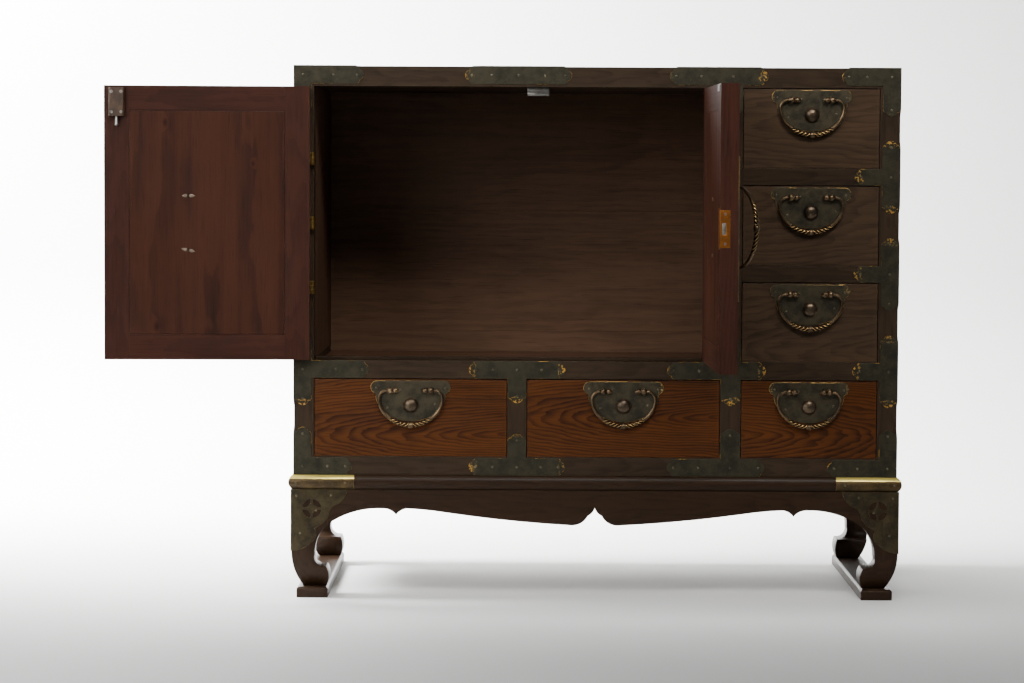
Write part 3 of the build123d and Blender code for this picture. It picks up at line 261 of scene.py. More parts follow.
# %% Bronze finishes
def bronze(name, skin, shade, gold, rough=0.5, tips=False, rub_share=0.5, hammer=0.5, metal=0.75,
           bright_above=None):
    """Skin and shade mix in blotches, and gold shows where the metal is worn.

    With tips the straps' ends wear too; bright_above is a height that the gilding starts at."""
    made, start, shader = new_finish(name)
    skin, shade, gold = rgb(skin), rgb(shade), rgb(gold)
    place = start.node("ShaderNodeTexCoord", out="Object")
    blotch = place.noise(45.0, 5.0, 0.65)
    fine = place.noise(420.0, 3.0)
    chips = place.noise(260.0, 2.0)
    dent = start.node("ShaderNodeTexVoronoi", {"Vector": place, "Scale": 260.0}, feature="SMOOTH_F1")
    colour = blotch.rise(0.35, 0.68).blend(skin, shade)
    colour = (fine.rise(0.55, 0.8) * 0.5).blend(colour, tuple(c * 1.9 for c in skin))
    rubbed = blotch.rise(0.62 - rub_share * 0.25, 0.78 - rub_share * 0.25)
    worn = start.attribute("edge", "Fac") * rubbed
    if tips:
        back, sideways, amount = start.attribute("tip", "Vector").parts()
        bow = back + sideways * sideways * 14.0 + (blotch - 0.5) * 0.022 + (fine - 0.5) * 0.006
        crescent = bow.rise(0.0085, 0.0050) * (1 - chips.rise(0.42, 0.54) * 0.9)
        inner = bow.rise(0.0135, 0.0120) * bow.rise(0.0092, 0.0108) * (1 - chips.rise(0.45, 0.55))
        worn = (crescent + inner * 0.7) * amount + worn
    if bright_above is not None:
        up = place.parts()[2] + (blotch - 0.5) * 0.003
        worn = up.rise(bright_above, bright_above + 0.0006) * (1 - fine.rise(0.6, 0.75) * 0.5) + worn
    worn = worn.rise(0.15, 1.0)
    plug(worn.blend(colour, gold), shader, "Base Color")
    plug((blotch - 0.5) * 0.3 + rough - worn * 0.16, shader, "Roughness")
    plug((dent * hammer + fine * 0.3 - worn * 0.3).bump(), shader, "Normal")
    shader.inputs["Metallic"].default_value = metal
    return made


sheet_bronze = bronze("sheet_bronze", (56, 52, 38), (37, 35, 26), (206, 156, 66), tips=True)
plate_bronze = bronze("plate_bronze", (68, 61, 45), (40, 37, 28), (186, 150, 84), tips=True,
                      hammer=0.9, rub_share=0.8)
cast_bronze = bronze("cast_bronze", (112, 92, 68), (62, 50, 38), (216, 190, 140), 0.32,
                     rub_share=0.9, metal=0.92)
grip_bronze = bronze("grip_bronze", (44, 33, 20), (26, 20, 13), (176, 142, 92), 0.36,
                     rub_share=1.6, metal=0.9)
boss_bronze = bronze("boss_bronze", (88, 74, 58), (50, 43, 34), (214, 176, 120), 0.36,
                     rub_share=0.4, hammer=0.15, metal=0.85)
nail_bronze = bronze("nail_bronze", (98, 90, 70), (60, 56, 44), (170, 150, 110), 0.34, hammer=0.2)
prong_bronze = bronze("prong_bronze", (124, 108, 90), (74, 62, 50), (220, 205, 170), 0.42,
                      metal=0.35)
CAP_EDGE = 0.1985
cap_bronze = bronze("cap_bronze", (78, 62, 36), (48, 38, 23), (228, 206, 108), rub_share=0.8,
                    bright_above=CAP_EDGE)
leg_bronze = bronze("leg_bronze", (60, 51, 31), (37, 31, 20), (176, 146, 84))
hinge_brass = bronze("hinge_brass", (124, 98, 52), (84, 66, 34), (190, 160, 92), 0.36, metal=0.95)
lock_brass = bronze("lock_brass", (168, 104, 44), (122, 72, 32), (214, 150, 80), 0.36, metal=0.9)
case_brown = bronze("case_brown", (78, 58, 42), (52, 38, 28), (150, 128, 100), hammer=0.1, metal=0.4)
steel = bronze("steel", (168, 164, 156), (116, 112, 106), (214, 210, 202), 0.34, metal=0.95)
print("metal finishes ready")

# %% [markdown]
# ## Boards
# A planed board is a box whose arrises are eased by less than a millimetre. The eased arris is
# what catches the light and what wears first, so it is real geometry here, and it is marked with
# the attribute edge. The same cell has the helper that writes the grain coordinates.

# %% Helpers for meshes
chance = random.Random(7)
ROOT = "case"
MM = 0.001
EASE = 0.7 * MM
ORDER = {"X": (0, 2, 1), "Y": (1, 2, 0), "Z": (2, 0, 1)}


def finish_mesh(mesh, body, *materials, replaces=(), slot="bronze_cast"):
    """An object that wears the materials and rides on the body; a replaced node is hidden, and slot is
    not used.
    """
    made = add_object(mesh.name, mesh)
    for material in materials:
        mesh.materials.append(material)
    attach(made, body)
    if replaces:
        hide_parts(*replaces)
    return made


def layer_of(layers, name):
    """A layer of a bmesh, made if it isn't there yet."""
    return layers.get(name) or layers.new(name)


def write_grain(bm, verts, axis, shift):
    """Each vertex's place along, across and through its board."""
    layer = layer_of(bm.verts.layers.float_vector, "grain")
    for v in verts:
        v[layer] = Vector([v.co[k] for k in ORDER[axis]]) + shift


def ease_edges(bm, edges, size, **options):
    """Round off edges; the new faces are smooth and marked with the attribute edge."""
    layer = layer_of(bm.loops.layers.float, "edge")
    made = bmesh.ops.bevel(bm, geom=edges, offset=size, segments=2, profile=0.5, affect="EDGES",
                           **options)
    for face in made["faces"]:
        face.smooth = True
        for loop in face.loops:
            loop[layer] = 1.0
    return made["faces"]


def add_board(bm, corners, axis):
    """One board between two corners, with eased arrises and its own grain."""
    x0, x1, y0, y1, z0, z1 = corners
    layer_of(bm.loops.layers.float, "edge")
    layer_of(bm.verts.layers.float_vector, "grain")
    middle = Vector(((x0 + x1) / 2, (y0 + y1) / 2, (z0 + z1) / 2))
    scale = Matrix.Diagonal((x1 - x0, y1 - y0, z1 - z0, 1))
    made = bmesh.ops.create_cube(bm, size=1.0, matrix=Matrix.Translation(middle) @ scale)
    own = set(made["verts"])
    edges = [e for e in bm.edges if e.verts[0] in own and e.verts[1] in own]
    verts = {v for face in ease_edges(bm, edges, EASE) for v in face.verts}
    low, high = (x0, x1) if axis == "Z" else (z0, z1)
    centre = (low + high) / 2 + chance.uniform(-0.2, 0.2) * (high - low)
    deep = x0 if axis == "Y" else y0
    shift = Vector((chance.uniform(-0.3, 0.3), -centre, -deep + chance.uniform(0, 0.01)))
    write_grain(bm, verts, axis, shift)


def to_mesh(bm, name, matrix=None):
    if matrix is not None:
        bmesh.ops.transform(bm, matrix=matrix, verts=bm.verts)
    mesh = bpy.data.meshes.new(name)
    bm.to_mesh(mesh)
    bm.free()
    return mesh


def boards(name, material, items, replaces=None):
    """Boards of (corners, axis) in place of the node of that name, or of the nodes given."""
    bm = bmesh.new()
    for corners, axis in items:
        add_board(bm, corners, axis)
    made = finish_mesh(to_mesh(bm, name + "_dressed"), ROOT, material, replaces=replaces or [name])
    print(name, len(items), "boards,", len(made.data.polygons), "faces")
    return made


print("a board's arris is eased by", EASE / MM, "mm")

# %% [markdown]
# ## Case
# Posts and rails are 33 mm square. The sides are framed too, with panels set back from the face,
# and the back is three wide boards in a rebate. The top is one thick plank.

# %% Case frame
FRONT, BACK, POST = -0.230, 0.230, 0.033
BOTTOM, TOP = 0.205, 0.882
RAIL, MID_LOW, MID_HIGH, UNDER_TOP = 0.236, 0.366, 0.396, 0.849
INNER = 0.467
DIV_L, DIV_R = 0.207, 0.241
SLIM, GROOVE = 0.028, 0.477
PITCH = (UNDER_TOP - MID_HIGH - 2 * SLIM) / 3 + SLIM
bases = [MID_HIGH + n * PITCH for n in range(3)]
front_depth = (FRONT, FRONT + POST)

boards("corner_posts", frame_wood,
       [((x, x + POST, y, y + POST, BOTTOM, UNDER_TOP), "Z")
        for x in (-0.5, INNER) for y in (FRONT, BACK - POST)])
boards("front_rails", frame_wood,
       [((-INNER, INNER, *front_depth, BOTTOM, RAIL), "X"),
        ((-INNER, DIV_L, *front_depth, MID_LOW, MID_HIGH), "X"),
        ((DIV_R, INNER, *front_depth, MID_LOW, MID_HIGH), "X")]
       + [((DIV_R, INNER, *front_depth, base - SLIM, base), "X") for base in bases[1:]])
side_depth = (FRONT + POST, BACK - POST)
boards("side_rails", frame_wood,
       [((x, x + POST, *side_depth, z0, z1), "Y")
        for x in (-0.5, INNER) for z0, z1 in ((BOTTOM, RAIL), (MID_LOW, MID_HIGH))])
sides = boards("side_panels", board_wood,
               [((x, x + 0.010, *side_depth, z0, z1), axis) for x in (-GROOVE, INNER)
                for z0, z1, axis in ((RAIL, MID_LOW, "Y"), (MID_HIGH, UNDER_TOP, "Z"))])

# %% [markdown]
# The boards that close the case are painted lighter inside, where the compartment lies in shade: that
# light finish is painted light that lifts the shade.
# So the side panels and the back carry two finishes, and a face picks the darker one, the boards' own
# colour, when it looks outwards.

# %% Boards inside and behind
step = (UNDER_TOP + 0.006 - BOTTOM) / 3
backs = boards("back_boards", board_wood,
               [((-GROOVE, GROOVE, 0.218, 0.228, BOTTOM + n * step, BOTTOM + (n + 1) * step), "X")
                for n in range(3)])
for made in (sides, backs):
    made.data.materials.append(side_wood)
    for face in made.data.polygons:
        face.material_index = int(abs(face.center.x) > 0.4765 or face.center.y > 0.2275)
# The bottom board and the partition wear the same finish, painted light in the shaded compartment.
boards("inner_boards", board_wood,
       [((-INNER, INNER, -0.203, 0.218, 0.224, RAIL), "X"),
        ((DIV_L, DIV_L + 0.012, -0.197, 0.218, 0.385, 0.855), "Z")],
       ["bottom_board", "partition_wall"])
boards("compartment_floor", floor_wood, [((-INNER, INNER, -0.203, 0.218, 0.373, 0.385), "X")])

# %% [markdown]
# ## Curved and jointed pieces
# Some pieces are best taken from the measured model itself: the top with its bolt hole, the
# dividing posts, the scrolled legs, the aprons, the moulding, the drawers' finger-jointed boxes
# and all the sheet metal. A copy of the node's triangles is merged, its flat faces are made whole,
# and its sharp edges are eased. Each separate solid gets its own grain along its longest side.


# %% Copies of measured nodes
def islands(bm):
    """The separate solids of a mesh, each as a list of its vertices, in a fixed order."""
    bm.verts.index_update()
    seen = set()
    found = []
    for start in list(bm.verts):
        if start in seen:
            continue
        stack, isle = [start], {start}
        while stack:
            for edge in stack.pop().link_edges:
                for v in edge.verts:
                    if v not in isle:
                        isle.add(v)
                        stack.append(v)
        seen |= isle
        found.append(sorted(isle, key=lambda v: v.index))
    return found


def extent(verts):
    """The lowest and highest corner of some vertices."""
    return [Vector([pick(v.co[k] for v in verts) for k in range(3)]) for pick in (min, max)]


def soften(bm, angle=40):
    """Smooth faces, with sharp edges kept where the surface turns by more than the angle."""
    for face in bm.faces:
        face.smooth = True
    for edge in bm.edges:
        edge.smooth = len(edge.link_faces) != 2 or edge.calc_face_angle(0) < radians(angle)


def solids_of(mesh):
    """A mesh merged within each solid, but not where two solids touch.

    A node's triangles come solid by solid. So where four of them meet at an edge, the first two
    belong to one solid and the last two to its neighbour."""
    places = [tuple(round(c, 6) for c in v.co) for v in mesh.vertices]
    faces = [[places[i] for i in p.vertices] for p in mesh.polygons]
    owner = list(range(len(faces)))

    def root(n):
        while owner[n] != n:
            owner[n] = owner[owner[n]]
            n = owner[n]
        return n

    beside = {}
    for n, face in enumerate(faces):
        for k in range(3):
            beside.setdefault(frozenset((face[k - 1], face[k])), []).append(n)
    for users in beside.values():
        for one, other in zip(users[::2], users[1::2]):
            owner[root(one)] = root(other)
    bm = bmesh.new()
    made = {}
    for n, face in enumerate(faces):
        keys = [(root(n), place) for place in face]
        corners = [made.get(key) or made.setdefault(key, bm.verts.new(key[1])) for key in keys]
        if len(set(corners)) == 3 and not bm.faces.get(corners):
            bm.faces.new(corners)
    return bm


FLAT = 2e-4


def copy_of(node, ease=0.0, keep=None, back=None, shift=None):
    """A merged copy of a node, its flats made whole, its sharp edges eased and its grain laid.

    Faces of more than FLAT square metres are shaded flat."""
    bm = solids_of(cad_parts[node].data)
    if back is not None:
        bmesh.ops.transform(bm, matrix=back, verts=bm.verts)
    if keep is not None:
        gone = [v for isle in islands(bm) if not keep(*extent(isle)) for v in isle]
        bmesh.ops.delete(bm, geom=gone, context="VERTS")
    bmesh.ops.dissolve_limit(bm, angle_limit=radians(0.5), verts=bm.verts, edges=bm.edges)
    layer_of(bm.loops.layers.float, "edge")
    layer_of(bm.verts.layers.float_vector, "grain")
    if ease:
        sharp = [e for e in bm.edges
                 if len(e.link_faces) == 2 and e.calc_face_angle() > radians(25)]
        ease_edges(bm, sharp, ease, clamp_overlap=True)
    soften(bm)
    for face in bm.faces:
        face.smooth = face.calc_area() < FLAT
    for isle in islands(bm):
        low, high = extent(isle)
        size = list(high - low)
        axis = "XYZ"[size.index(max(size))]
        _, across, through = ORDER[axis]
        centre = (low[across] + high[across]) / 2
        place = Vector((chance.uniform(-0.3, 0.3), -centre, -low[through]))
        write_grain(bm, isle, axis, place if shift is None else shift)
    return bm


def dress(node, body, material, ease=0.0006, turn=None, lift=0.0, **options):
    """A node's own shape with eased edges and a finish; turn is how its body stands at rest.

    Lift is how far a sheet is raised off the front face that it lies on."""
    back = None if turn is None else turn.inverted()
    bm = copy_of(node, ease, back=back, **options)
    for v in bm.verts:
        if v.co.y > FRONT - 1e-5:
            v.co.y -= lift
    made = finish_mesh(to_mesh(bm, node + "_dressed", turn), body, material, replaces=[node])
    print(made.name, len(made.data.polygons), "faces")
    return made


dress("top_board", ROOT, frame_wood, EASE)
dress("divider_posts", ROOT, frame_wood, EASE)

# %% [markdown]
# ## Stand
# The stand is made like a low table: scrolled legs on two foot rails, cusped aprons between them
# and a rounded moulding that the case sits in. Caps of gilded bronze hold the moulding's corners.

# %% Stand pieces
# The stand's finish is darker than the case's: painted shade on the low parts.
for node, ease in (("stand_legs", 0.0012), ("stand_aprons", 0.001), ("stand_moulding", 0.001),
                   ("foot_rails", 0.0008)):
    dress(node, ROOT, stand_wood_painted_shade, ease)
dress("door_stop", ROOT, frame_wood, 0.0005)
dress("drawer_runners", ROOT, box_wood, 0.0)
dress("stand_caps", ROOT, cap_bronze, 0.0003)
dress("leg_plates", ROOT, leg_bronze, 0.0003)
dress("post_hinge_leaves", ROOT, hinge_brass, 0.0003)

# %% [markdown]
# ## Doors
# A door's boards are dressed while it is shut, because its fibres run with its stiles and rails.
# Then one matrix turns them about the pin, to where the door stands at rest. The panels show
# three knots, so they get a finish of their own. The open hinge leaves lie on the posts, so they
# are raised by the thickness of a hair.

# %% Doors
PIN_Y = -0.2358
DOOR_IN = -0.2014
DOOR_MIDDLE = 0.62275
HAIR = 0.00005


def about(x, angle):
    """The turn of a door about its pin."""
    pin = Matrix.Translation((x, PIN_Y, 0))
    return pin @ Matrix.Rotation(radians(angle), 4, "Z") @ pin.inverted()


door_turn = {"left": about(-0.46975, -177), "right": about(0.20975, 91)}
panel_shift = {"left": Vector((0, 0.2984, 0.24)), "right": Vector((1.5, -0.0384, 0.24))}
for side, turn in door_turn.items():
    door = side + "_door"
    dress(door + "_frame", door, door_wood, 0.0006, turn=turn)
    dress(door + "_panel", door, panel_wood, 0.0005, turn=turn, shift=panel_shift[side])
    dress(door + "_hinges", door, hinge_brass, 0.0003, turn=turn, lift=HAIR)

# %% [markdown]
# ## Drawers
# The six fronts are cut from two planks. The lower three are orange-brown with bold arches, and
# the column's upper three are darker and calmer. A front's shift says where it was cut: how far
# along the plank, and how far above the pith.

# %% Drawer fronts and boxes
DRAWER_IN = -0.2295
figure = {1: (0.52, 0.80), 2: (0.16, 0.665), 3: (0.60, 0.42), 4: (0.20, 0.27), 5: (-0.05, 0.275),
          6: (0.30, 0.305)}
for n, (along, height) in figure.items():
    body = f"drawer_{n}"
    finish = warm_wood if n > 3 else brown_wood
    dress(body + "_front", body, finish, 0.0006, shift=Vector((-along, -height, -DRAWER_IN)))
    dress(body + "_box", body, box_wood, 0.0003)

# %% [markdown]
# ## Mounts
# Every joint of the front carries a sheet of bronze whose straps end in a lobe between two small
# steps. The sheets come from the measured model, one at a time. Each strap is cut across three
# centimetres from its end, so that the attribute tip can count back from the end and stay still
# over the rest of the sheet. A strap in the table is (length in mm, wear).

# %% Sheet mounts
SHEET, LOBE = 0.0012, 0.030
RIGHT, OUT, UP = Vector((1, 0, 0)), Vector((0, -1, 0)), Vector((0, 0, 1))
ways = {"right": RIGHT, "left": -RIGHT, "up": UP, "down": -UP}
half = 0.0145
top_z, low_z, mid_z = TOP - half, BOTTOM + half, (MID_LOW + MID_HIGH) / 2
post_x, div_x, meet_x = 0.5 - half, 0.224, -0.130
mounts = [
    ("top_left", -post_x, top_z, {"right": (100, 0.15), "down": (65, 0.1)}),
    ("top_right", post_x, top_z, {"left": (82, 0.3), "down": (65, 0.25)}),
    ("bottom_left", -post_x, low_z, {"right": (82, 0.15), "up": (65, 0.1)}),
    ("bottom_right", post_x, low_z, {"left": (100, 0.15), "up": (65, 0.1)}),
    ("middle_left", -post_x, mid_z, {"right": (110, 0.25), "up": (60, 0.1), "down": (60, 0.8)}),
    ("middle_right", post_x, mid_z, {"left": (60, 0.9), "up": (60, 0.6), "down": (60, 0.85)}),
    ("column_low", post_x, bases[1] - SLIM / 2,
     {"left": (60, 0.7), "up": (60, 0.6), "down": (60, 0.2)}),
    ("column_high", post_x, bases[2] - SLIM / 2,
     {"left": (60, 1.0), "up": (60, 0.75), "down": (60, 0.8)}),
    ("top_strap", meet_x, top_z, {"left": (88, 0.4), "right": (88, 0.25)}),
    ("divider_top", div_x, top_z, {"left": (105, 0.3), "right": (58, 0.9), "down": (65, 0.1)}),
    ("divider_middle", div_x, mid_z,
     {"left": (105, 0.4), "right": (58, 0.75), "up": (58, 0.1), "down": (58, 0.85)}),
    ("divider_bottom", div_x, low_z, {"left": (105, 0.15), "right": (58, 0.15), "up": (65, 0.1)}),
    ("meeting_middle", meet_x, mid_z, {"left": (80, 0.85), "right": (80, 0.9), "down": (55, 1.0)}),
    ("meeting_bottom", meet_x, low_z, {"left": (80, 0.6), "right": (80, 0.5), "up": (55, 0.35)}),
]


def write_tips(bm, ends, face_y):
    """Where each strap's end lies, for the wear: ends are (end, way back to the root, amount)."""
    for end, way, _ in ends:
        geom = [*bm.verts, *bm.edges, *bm.faces]
        bmesh.ops.bisect_plane(bm, geom=geom, plane_co=end + way * LOBE, plane_no=way)
    layer = layer_of(bm.verts.layers.float_vector, "tip")
    for v in bm.verts:
        v[layer] = (3 * LOBE, 0, 0)
        for end, way, amount in ends:
            back = (v.co - end).dot(way)
            across = (v.co - end).dot(OUT.cross(way))
            if back < LOBE + 1e-5 and abs(across) < 0.019 and v.co.y < face_y:
                v[layer] = (back, across, amount)


case_nails = []
BIG_NAIL, NAIL = 0.0022, 0.0020
for name, x, z, arms in mounts:
    centre = Vector((x, FRONT - SHEET, z))
    bm = copy_of("case_mounts", 0.0003,
                 keep=lambda low, high: low.x < x < high.x and low.z < z < high.z)
    ends = [(centre + ways[w] * (length * MM), -ways[w], worn)
            for w, (length, worn) in arms.items()]
    write_tips(bm, ends, FRONT + 0.002)
    finish_mesh(to_mesh(bm, name + "_mount"), ROOT, sheet_bronze, replaces=["case_mounts"])
    case_nails.append((centre, OUT, BIG_NAIL))
    for w, (length, _) in arms.items():
        case_nails.append((centre + ways[w] * ((length - 11) * MM), OUT, BIG_NAIL))
        if length > 75:
            case_nails.append((centre + ways[w] * (length / 2 * MM), OUT, BIG_NAIL))
    if abs(x) == post_x:
        sideways = RIGHT * copysign(1, x)
        for back in (0.014, 0.036):
            place = Vector((0, FRONT + back, z)) + sideways * (0.5 + SHEET)
            case_nails.append((place, sideways, NAIL))
print(len(mounts), "mounts")

# %% [markdown]
# ## Nails
# Domed nails hold all the sheet metal. Only their places differ, so Geometry Nodes grow them: a
# point for each nail, with the way it faces and its size as attributes, and one squashed sphere
# of few faces set on all of them. What comes out is plain mesh, which rides like any piece.


# %% A tree that sets nails on points
def new_tree(name, **sizes):
    """An empty tree: a mesh, sizes and a metal go in, and a mesh comes out."""
    tree = bpy.data.node_groups.new(name, "GeometryNodeTree")
    add = tree.interface.new_socket
    add("Mesh", in_out="INPUT", socket_type="NodeSocketGeometry")
    for size, value in sizes.items():
        add(size, in_out="INPUT", socket_type="NodeSocketFloat").default_value = value
    add("metal", in_out="INPUT", socket_type="NodeSocketMaterial")
    add("Mesh", in_out="OUTPUT", socket_type="NodeSocketGeometry")
    start = Signal(tree)
    return tree, start, [start.node("NodeGroupInput", out=n) for n in range(len(sizes) + 2)]


def close_tree(start, mesh, metal):
    """Realize Instances, smooth shading and Set Material, then the way out."""
    real = start.node("GeometryNodeRealizeInstances", {"Geometry": mesh})
    smooth = start.node("GeometryNodeSetShadeSmooth", {"Geometry": real})
    made = start.node("GeometryNodeSetMaterial", {"Geometry": smooth, "Material": metal})
    start.node("NodeGroupOutput", {0: made})


def grown(name, tree, mesh, **values):
    """The plain mesh that a tree grows on a mesh, with its inputs set by their identifiers."""
    seed = add_object(name + "_seed", mesh)
    modifier = seed.modifiers.new(tree.name, "NODES")
    modifier.node_group = tree
    for key, value in values.items():
        socket = next(s for s in tree.interface.items_tree if s.name == key and s.in_out == "INPUT")
        modifier[socket.identifier] = value
    depsgraph = bpy.context.evaluated_depsgraph_get()
    made = bpy.data.meshes.new_from_object(seed.evaluated_get(depsgraph))
    bpy.data.objects.remove(seed)
    made.name = name
    return made


nail_tree, start, (points, height, metal) = new_tree("domed_nails", height=0.45)
facing = start.node("GeometryNodeInputNamedAttribute", {"Name": "facing"},
                    data_type="FLOAT_VECTOR")
size = start.node("GeometryNodeInputNamedAttribute", {"Name": "size"}, data_type="FLOAT")
ball = start.node("GeometryNodeMeshUVSphere", {"Segments": 10, "Rings": 6, "Radius": 1.0})
flat = start.node("ShaderNodeCombineXYZ", {0: 1.0, 1: 1.0, 2: height})
dome = start.node("GeometryNodeTransform", {"Geometry": ball, "Scale": flat})
turned_out = start.node("FunctionNodeAlignRotationToVector", {"Vector": facing}, axis="Z")
nails_set = start.node("GeometryNodeInstanceOnPoints",
                       {"Points": points, "Instance": dome, "Rotation": turned_out, "Scale": size})
close_tree(start, nails_set, metal)


def nails(name, body, spots):
    """Nails at spots of (place, way out, size), as one piece of the body."""
    mesh = bpy.data.meshes.new(name + "_points")
    mesh.from_pydata([spot for spot, _, _ in spots], [], [])
    facing = mesh.attributes.new("facing", "FLOAT_VECTOR", "POINT")
    facing.data.foreach_set("vector", [c for _, way, _ in spots for c in way])
    size = mesh.attributes.new("size", "FLOAT", "POINT")
    size.data.foreach_set("value", [s for _, _, s in spots])
    made = finish_mesh(grown(name, nail_tree, mesh, metal=nail_bronze), body)
    print(name, len(spots), "nails,", len(made.data.polygons), "faces")


for x in (-0.4965, -0.4145, 0.4145, 0.4965):
    case_nails.append((Vector((x, -0.2395, 0.1925)), OUT, NAIL))
for side in (-1, 1):
    for inward, down in ((0.009, 0.0105), (0.066, 0.0095), (0.041, 0.035), (0.0145, 0.073)):
        place = Vector((side * (0.504 - inward), -0.2352, 0.181 - down))
        case_nails.append((place, OUT, 0.0019))
nails("case_nails", ROOT, case_nails)

# %% [markdown]
# ## Turned and swept pieces
# Studs, bosses, acorns and the bails' rods are all the same idea: rings of points along a line,
# each with its own radius, joined and closed at both ends. One helper makes them all.


# %% Rings along a line
def sweep(bm, path, radii, sides=16, beside=-OUT, squash=1.0):
    """A closed bar of rings along a path; squash flattens it in the direction of beside."""
    rings = []
    for n, (point, radius) in enumerate(zip(path, radii)):
        ahead = (path[min(n + 1, len(path) - 1)] - path[max(n - 1, 0)]).normalized()
        first = beside.cross(ahead).normalized()
        second = ahead.cross(first) * squash
        turns = [2 * pi * k / sides for k in range(sides)]
        rings.append([bm.verts.new(point + radius * (cos(a) * first + sin(a) * second))
                      for a in turns])
    for low, high in zip(rings, rings[1:]):
        for k in range(sides):
            bm.faces.new((low[k - 1], low[k], high[k], high[k - 1]))
    bm.faces.new(rings[0])
    bm.faces.new(rings[-1])


def turned(bm, place, axis, profile, sides=16):
    """A lathe-turned piece: profile is (distance along the axis, radius), in millimetres."""
    axis = Vector(axis)
    beside = -OUT if abs(axis.y) < 0.5 else RIGHT
    path = [Vector(place) + axis * (d * MM) for d, _ in profile]
    sweep(bm, path, [r * MM for _, r in profile], sides, beside)


def close_mesh(bm, name, matrix):
    """Normals outwards, soft faces, and the piece set in its place."""
    bmesh.ops.recalc_face_normals(bm, faces=bm.faces)
    soften(bm, 50)
    return to_mesh(bm, name, matrix)


def arc(x, z, radius, first, last, count):
    turns = [radians(first + (last - first) * n / count) for n in range(count + 1)]
    return [Vector((x + radius * cos(a), 0, z + radius * sin(a))) for a in turns]


print("sweep, turned and arc ready")

# %% [markdown]
# ## Pulls
# A pull is a bowl-shaped plate, a round boss, two studs and a bail. The bail's rod runs through
# both studs and ends in an acorn on the inner side of each. It thickens downwards into a grip that
# is twisted like rope, with a bead in its middle. The twist is a lobed circle carried along the
# arc by Geometry Nodes, with a tilt that grows from the middle to both sides.

# %% A tree that twists a grip
STRANDS = 4
twist_tree, start, (line, turns, thickness, metal) = new_tree("twisted_grip", turns=1.4, thickness=0.0034)
share = start.node("GeometryNodeSplineParameter")
off_middle = (share - 0.5).math("ABSOLUTE")
curve = start.node("GeometryNodeMeshToCurve", {"Mesh": line})
tilted = start.node("GeometryNodeSetCurveTilt",
                    {"Curve": curve, "Tilt": off_middle * turns * (4 * pi)})
circle = start.node("GeometryNodeCurvePrimitiveCircle",
                    {"Resolution": 8 * STRANDS, "Radius": 1.0}, mode="RADIUS")
around = start.node("GeometryNodeSplineParameter")
crest = (around * (2 * pi * STRANDS)).math("COSINE")
place = start.node("GeometryNodeInputPosition")
lobe = start.node("ShaderNodeVectorMath", {0: place, "Scale": crest * 0.17}, operation="SCALE")
lobed = start.node("GeometryNodeSetPosition", {"Geometry": circle, "Offset": lobe})
marked = start.node("GeometryNodeStoreNamedAttribute",
                    {"Geometry": lobed, "Name": "edge", "Value": crest.rise(0.3, 1.0)},
                    data_type="FLOAT", domain="POINT")
swollen = thickness * (1.0 - off_middle * off_middle * 0.5)
rope = start.node("GeometryNodeCurveToMesh",
                  {"Curve": tilted, "Profile Curve": marked, "Scale": swollen, "Fill Caps": True})
close_tree(start, rope, metal)
print("grip tree", len(twist_tree.nodes), "nodes")

# %% [markdown]
# The bail's outline is a chain of arcs: a tight corner by the stud, a wide bend down the side, and
# one long arc through the bottom that touches the bend. It is drawn once in its own frame, as
# rod, acorns, end caps and bead, and the grip's middle line goes through the tree.

# %% Bail
ROD, GRIP, CORNER, BAIL_SIDE, GRIP_HALF = 0.0026, 0.0039, 0.013, 0.038, 36
ACORN = [(0, 3.0), (0.2, 4.3), (1.2, 5.0), (3.0, 5.0), (3.2, 4.6), (3.6, 4.8), (5.8, 3.9),
         (8.0, 2.4), (9.6, 1.1), (10.0, 0.4)]
END_CAP = [(0, 2.0), (0.2, 3.1), (1.0, 3.3), (1.6, 2.3)]
BEAD = [(0, 3.0), (0.6, 4.4), (2.2, 5.0), (4.0, 5.1), (5.8, 5.0), (7.4, 4.4), (8.0, 3.0)]


def bail(name, width, depth, studs, matrix):
    """A bail in its own frame, hung from the middle of its pivot, then set in its place."""
    reach = width / 2 - ROD
    side_x = reach - BAIL_SIDE
    low = depth - GRIP - CORNER
    spare = low - BAIL_SIDE
    rise = (side_x**2 - spare**2) / (2 * spare)
    spread = degrees(atan2(side_x, rise))
    line = [Vector((studs - 0.0068, 0, 0)), Vector((reach - CORNER - 0.002, 0, 0))]
    line += arc(reach - CORNER, -CORNER, CORNER, 90, 0, 8)
    line += arc(side_x, -CORNER, BAIL_SIDE, 0, spread - 90, 14)[1:]
    line += arc(0, rise - CORNER, low + rise, spread - 90, GRIP_HALF - 90, 10)[1:]
    radii = [0.0022 + 0.0010 * (n / len(line)) ** 1.5 for n in range(len(line))]
    bm = bmesh.new()
    for side in (1, -1):
        sweep(bm, [Vector((side * p.x, p.y, p.z)) for p in line], radii)
        turned(bm, (side * (studs - 0.0058), 0, 0), (-side, 0, 0), ACORN)
        turned(bm, (side * (studs + 0.0057), 0, 0), (side, 0, 0), END_CAP)
    turned(bm, (-4 * MM, 0, -(low + CORNER)), (1, 0, 0), BEAD)
    rod = close_mesh(bm, name + "_rod", matrix)
    finish_mesh(rod, name, cast_bronze, replaces=[name])
    grip_line = arc(0, rise - CORNER, low + rise, -90 - GRIP_HALF, -90 + GRIP_HALF, 90)
    points = bpy.data.meshes.new(name + "_line")
    points.from_pydata(grip_line, [(n, n + 1) for n in range(len(grip_line) - 1)], [])
    grip = grown(name + "_grip", twist_tree, points, metal=grip_bronze)
    grip.transform(matrix)
    finish_mesh(grip, name)
    print(name, len(rod.polygons) + len(grip.polygons), "faces")


print("the bail's rod is", 2 * ROD / MM, "mm thick")

# %% [markdown]
# A stud goes through plate and wood, and its two ends are clenched inside like a cotter pin's.
# No two are bent alike, so their length and their skew are drawn at random.

